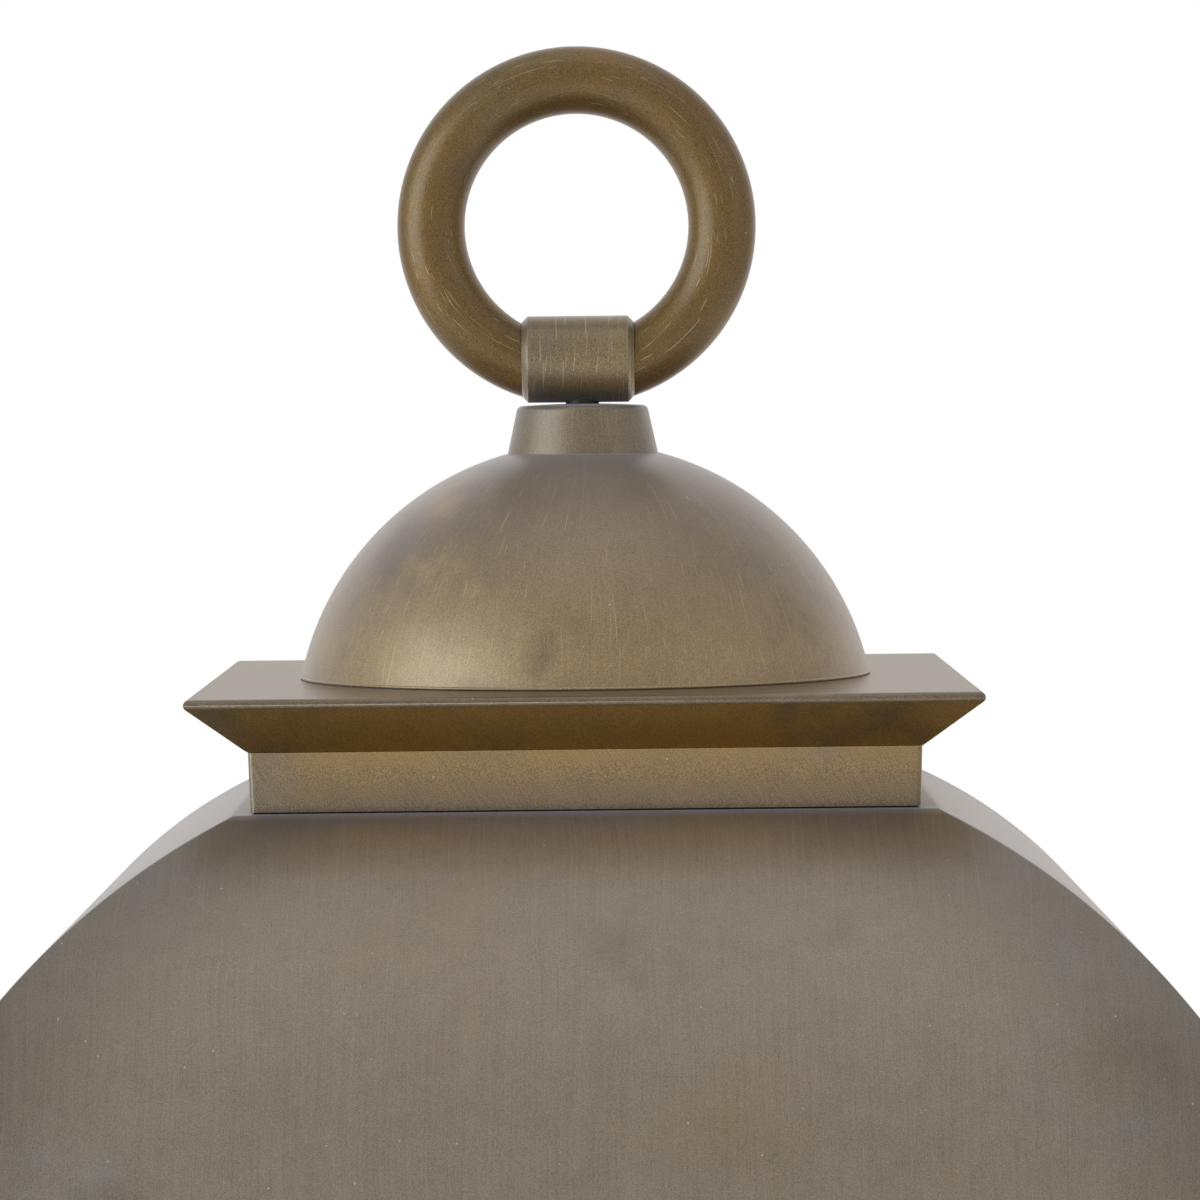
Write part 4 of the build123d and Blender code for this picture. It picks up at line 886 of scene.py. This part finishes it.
finish_piece(spun_dome(), "spun_dome", "housing", dome_bronze, ["dome_cap"])
print("dome stands", round(1000 * (dome_top - dome_foot), 1), "mm high")

# %% [markdown]
# ## Cornice, roof and rim
# The cornice is a casting: a square plate with a round nose, a sloping underside and a short
# neck. The roof is four bent sheets soldered at the hips, and the rim under it has a small cove.
# All three are closed half sections spun in four steps. The hips of the roof are crisp, so they
# get only a narrow round, while the vertical edges of the cast neck get a wide one.

# %% Cornice
nose_r = 0.00095
neck_top_half = 0.0573
neck_foot_half = 0.057
neck_wall = 0.003


def cast_cornice():
    """Plate, nose, sloping underside and hollow neck."""
    bm = bmesh.new()
    crease = cornice_top - crease_drop
    nose = (cornice_half - nose_r, cornice_top - nose_r)
    across, down = neck_top_half - nose[0], crease - nose[1]
    turn = math.degrees(math.acos(nose_r / math.hypot(across, down)) + math.atan2(down, across))
    ceiling = cornice_top - neck_wall
    open_chain(
        bm,
        (0, cornice_top),
        (nose[0], cornice_top),
        (nose, turn - 90, 10),
        (neck_top_half, crease),
        (neck_foot_half, neck_foot),
        (neck_foot_half - neck_wall, neck_foot),
        (neck_foot_half - neck_wall, ceiling),
        (0, ceiling),
    )
    spin_square(bm)
    neck_hips = hip_edges(bm, neck_foot, crease)
    outside = [edge for edge in neck_hips if abs(edge.verts[0].co.x) > neck_foot_half - nose_r]
    soften(bm, outside, 0.0009, 6)
    soften(bm, hip_edges(bm, crease, cornice_top - nose_r), 0.00018)
    return bm


finish_piece(cast_cornice(), "cast_cornice", "housing", cornice_bronze, ["cornice"])

# %% Roof
roof_rise = roof_top - roof_foot
roof_arc = 0.1048
roof_sheet = 0.0016
roof_spring_half = high("roof_shell").x
roof_arc_x = roof_spring_half - roof_arc
opening_half = 0.05


def bent_roof():
    """Domed roof of four sheets, open below and under the neck."""
    bm = bmesh.new()
    middle = (roof_arc_x, roof_foot)
    outer = math.degrees(math.asin(roof_rise / roof_arc))
    inner = math.degrees(math.asin((roof_rise - roof_sheet) / (roof_arc - roof_sheet)))
    open_chain(
        bm,
        (opening_half, roof_top),
        (roof_arc_x + math.sqrt(roof_arc**2 - roof_rise**2), roof_top),
        (middle, -outer, 64),
        (roof_spring_half - roof_sheet, roof_foot),
        (middle, inner, 40),
        (opening_half, roof_top - roof_sheet),
        (opening_half, roof_top),
    )
    spin_square(bm)
    outside = []
    for edge in hip_edges(bm, roof_foot, roof_top):
        first, last = (vertex.co for vertex in edge.verts)
        from_middle = math.hypot(abs(first.x) - roof_arc_x, first.z - roof_foot)
        if from_middle > roof_arc - roof_sheet / 2 and abs(last.x) > opening_half + roof_sheet:
            outside.append(edge)
    soften(bm, outside, crisp)
    return bm


finish_piece(bent_roof(), "bent_roof", "housing", roof_bronze, ["roof_shell"])

# %% Rim
rim_half = high("roof_rim").x
rim_foot = low("roof_rim").z
rim_cove = 0.005
rim_ledge_half = rim_half - rim_cove
rim_wall = 0.003
rim_seat = 0.0026
rim_neck = 0.007
soffit = 0.002
soffit_opening = 0.08


def coved_rim():
    """Rim with a small cove outside and a flat soffit inside."""
    bm = bmesh.new()
    seat_half = roof_spring_half - rim_seat
    open_chain(
        bm,
        (seat_half, roof_foot),
        (rim_ledge_half, roof_foot),
        ((rim_half, roof_foot), 90, 12),
        (rim_half, rim_foot),
        (soffit_opening, rim_foot),
        (soffit_opening, rim_foot + soffit),
        (rim_half - rim_wall, rim_foot + soffit),
        (rim_half - rim_wall, roof_foot - rim_neck),
        (seat_half, roof_foot - rim_neck),
        (seat_half, roof_foot),
    )
    spin_square(bm)
    soften(bm, sharp_edges(bm), crisp)
    return bm


finish_piece(coved_rim(), "coved_rim", "housing", body_bronze, ["roof_rim"])

# %% [markdown]
# ## Base and drop finial
# The base is a coved square bowl in the same thin metal as the roof. A turned ball with a flange
# and a short neck closes it from below, and all its edges are rounded as a cloth rounds them.

# %% Base
base_half = high("base_moulding").x
base_top = high("base_moulding").z
base_foot = low("base_moulding").z
fascia = 0.005
base_step = 0.005
base_cove = 0.034
base_wall = 0.002


def coved_base():
    """Coved bowl with a thin wall and a flat floor."""
    bm = bmesh.new()
    middle = (base_half - base_step, base_top - fascia - base_cove)
    open_chain(
        bm,
        (0, base_foot),
        (middle[0] - base_cove, base_foot),
        (middle[0] - base_cove, middle[1]),
        (middle, -90, 32),
        (base_half, base_top - fascia),
        (base_half, base_top),
        (base_half - base_wall, base_top),
        (base_half - base_wall, base_top - fascia + base_wall),
        (middle[0], base_top - fascia + base_wall),
        (middle, 90, 32),
        (0, middle[1]),
    )
    spin_square(bm)
    soften(bm, sharp_edges(bm), crisp)
    return bm


finish_piece(coved_base(), "coved_base", "housing", body_bronze, ["base_moulding"])

# %% Drop finial
drop_top = high("drop_finial").z
drop_foot = low("drop_finial").z
drop_flange = (high("drop_finial").x - low("drop_finial").x) / 2
flange_deep = 0.004
drop_neck = 0.008
drop_neck_long = 0.006
drop_ball = 0.015
drop_tip = 0.0045
drop_tip_end = drop_tip * 0.6


def turned_drop():
    """Flange, short neck, ball and small tip."""
    bm = bmesh.new()
    rise = math.sqrt(drop_ball**2 - drop_neck**2)
    neck_end = drop_top - flange_deep - drop_neck_long
    middle = (0, neck_end - rise)
    upper = math.degrees(math.asin(rise / drop_ball))
    lower = math.degrees(math.acos(drop_tip / drop_ball))
    open_chain(
        bm,
        (0, drop_top),
        (drop_flange, drop_top),
        (drop_flange, drop_top - flange_deep),
        (drop_neck, drop_top - flange_deep),
        (drop_neck, neck_end),
        (middle, -upper - lower, 40),
        (drop_tip_end, drop_foot),
        (0, drop_foot),
    )
    spin_round(bm, 128)
    soften(bm, circle_edges(bm, drop_flange, drop_top), 0.0012, 5)
    soften(bm, circle_edges(bm, drop_flange, drop_top - flange_deep), 0.0012, 5)
    soften(bm, circle_edges(bm, drop_tip_end, drop_foot), 0.0006, 4)
    return bm


finish_piece(turned_drop(), "turned_drop", "housing", dome_bronze, ["drop_finial"])
print("drop finial ends", round(1000 * (cornice_top - drop_foot)), "mm below the cornice")

# %% [markdown]
# ## Everything that keeps its solid
# Posts, rails, door, hinges, screws and the wall side already have their right shapes. Their
# meshes stay as they are and get three modifiers: Weld joins the loose triangles, Bevel rounds
# the edges by a fraction of a millimetre so that they catch the light, and Weighted Normal keeps
# the large faces flat. The finish follows the material slot that each solid came with: most slots
# are named like a finish above, and the rest are listed here.

# %% Finishes by slot, and soft edges
finish_of_slot = {name.replace(" ", "_"): material for name, material in finish.items()} | {
    "aged_bronze": body_bronze,
    "burnished_brass": sleeve_bronze,
    "brass_screw": finish["screw brass"],
    "ivory_tube": finish["ivory card"],
    "filament": finish["filament yellow"],
    "green_screw": finish["earth green"],
}
own_finish = {
    "wall_gasket": finish["wall foam"],
    "centre_rod": finish["blackened steel"],
    "base_nipple": finish["drawn steel"],
}
replaced_nodes = {
    "finial_ring", "collar", "dome_cap", "cornice", "roof_shell", "roof_rim", "base_moulding",
    "drop_finial",
}
usual_edge = 0.0003
edge_of = {"ring_sleeve": 0.00006}       # its own chamfers must stay crisp
no_soft_edges = {
    "bulb_glass", "bulb_stems", "bulb_filaments", "wall_gasket", "dome_gasket", "neck_gasket",
}


def soft_edges(thing, width):
    """Weld, narrow bevel and weighted normals on a solid that stays."""
    weld = thing.modifiers.new("joined triangles", "WELD")
    weld.merge_threshold = 1e-6
    bevel = thing.modifiers.new("soft edges", "BEVEL")
    bevel.width = width
    bevel.segments = 2
    bevel.limit_method = "ANGLE"
    bevel.angle_limit = math.radians(35)
    bevel.use_clamp_overlap = True
    keep_flat(thing)


def dress_solids():
    """Gives every solid its finish and soft edges. Returns how many were dressed."""
    dressed = 0
    for node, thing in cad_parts.items():
        slot = thing.material_slots[0].material.name
        thing.material_slots[0].material = own_finish.get(node, finish_of_slot[slot])
        if node not in no_soft_edges | replaced_nodes:
            size = min(high(node) - low(node))
            soft_edges(thing, min(edge_of.get(node, usual_edge), size / 12))
        dressed += 1
    return dressed


print(dress_solids(), "solids dressed")

# %% [markdown]
# ## Floor, backdrop and light
# The picture has a plain white ground. A round pale floor lies a little below the lantern and
# keeps its soft shadow, and it fades to white at its rim. The camera sees a white world, also
# through glass, and mirrors see it white behind the lantern only. Everything else gets half as
# much, so pale things do not burn out. Three large lamps stand in for the studio's soft boxes,
# and a small one lifts what faces down at the front.

# %% Floor
floor_drop = 0.12
floor_reach = 1.5
floor_height = low("drop_finial").z - floor_drop


def mix_shader(tree, mask, first, second):
    """Shader that goes from the first to the second by a mask."""
    return add_node(tree, "MixShader", {0: mask, 1: first, 2: second}).outputs[0]


def pale_floor():
    """Material of a round floor that fades to white at its rim and doesn't show from below."""
    material, tree, shader = new_material("pale floor")
    coordinates = add_node(tree, "TexCoord").outputs["Object"]
    from_axis = vector_calc(tree, "SUBTRACT", coordinates, tuple(axis))
    distance = vector_calc(tree, "LENGTH", vector_calc(tree, "MULTIPLY", from_axis, (1, 1, 0)))
    fading = ramp(tree, distance, floor_reach * 0.3, floor_reach * 0.95)
    grain = spread(tree, noise(tree, coordinates, 40.0, detail=3.0), 0.79, 0.81)
    colour = add_node(tree, "CombineColor", {0: grain, 1: grain, 2: grain}).outputs[0]
    feed(tree, shader.inputs["Base Color"], colour)
    shader.inputs["Roughness"].default_value = 0.9
    glow = {"Color": (1.0, 1.0, 1.0, 1.0), "Strength": 1.0}
    white = add_node(tree, "Emission", glow).outputs[0]
    clear = add_node(tree, "BsdfTransparent").outputs[0]
    faded = mix_shader(tree, fading, shader.outputs[0], white)
    below = add_node(tree, "NewGeometry").outputs["Backfacing"]
    both = mix_shader(tree, below, faded, clear)
    feed(tree, tree.nodes["Material Output"].inputs["Surface"], both)
    return material


bm = bmesh.new()
bmesh.ops.create_circle(bm, cap_ends=True, segments=96, radius=floor_reach)
bmesh.ops.translate(bm, vec=(axis.x, axis.y, floor_height), verts=bm.verts[:])
floor_mesh = bpy.data.meshes.new("pale_floor")
bm.to_mesh(floor_mesh)
bm.free()
floor_mesh.materials.append(pale_floor())
floor = bpy.data.objects.new("pale_floor", floor_mesh)
bpy.context.scene.collection.objects.link(floor)
print("floor at", round(floor_height, 3))

# %% World
world = bpy.data.worlds.new("white room")
bpy.context.scene.world = world
world.use_nodes = True
tree = world.node_tree
tree.nodes.clear()
seen = add_node(tree, "LightPath").outputs
direction = add_node(tree, "TexCoord").outputs["Generated"]
depth = add_node(tree, "SeparateXYZ", {0: direction}).outputs["Y"]
mirrored = calc(tree, "MULTIPLY", seen["Is Glossy Ray"], ramp(tree, depth, 0.3, 0.9))
in_view = calc(tree, "MAXIMUM", seen["Is Camera Ray"], seen["Is Transmission Ray"])
white_for = calc(tree, "MAXIMUM", in_view, mirrored)
plain_room, white_room = (
    add_node(tree, "Background", {"Color": (1.0, 1.0, 1.0, 1.0), "Strength": strength}).outputs[0]
    for strength in (0.5, 1.0)
)
room = mix_shader(tree, white_for, plain_room, white_room)
add_node(tree, "OutputWorld", {"Surface": room})
print("world", world.name, "has", len(tree.nodes), "nodes")


# %% Lamps
def soft_box(name, place, size, power, colour=(1.0, 1.0, 1.0)):
    """Square lamp aimed at the foot of the lantern's roof, placed from the axis."""
    data = bpy.data.lights.new(name, "AREA")
    data.shape = "SQUARE"
    data.size = size
    data.energy = power
    data.color = colour
    lamp = bpy.data.objects.new(name, data)
    target = Vector((axis.x, axis.y, roof_foot))
    lamp.location = axis + Vector(place)
    lamp.rotation_euler = (target - lamp.location).to_track_quat("-Z", "Y").to_euler()
    bpy.context.scene.collection.objects.link(lamp)


soft_box("soft box left", (-2.0, -1.1, 0.6), 2.0, 25.0, colour=(0.77, 0.89, 1.0))
soft_box("soft box right", (1.9, -1.2, 0.9), 1.4, 1.6)
soft_box("soft box above", (0.1, -0.2, 2.2), 1.6, 3.0)
soft_box("low fill", (0.0, -1.35, -0.12), 0.8, 0.6, colour=(1.0, 0.9, 0.78))
bpy.context.scene.view_settings.view_transform = "Standard"
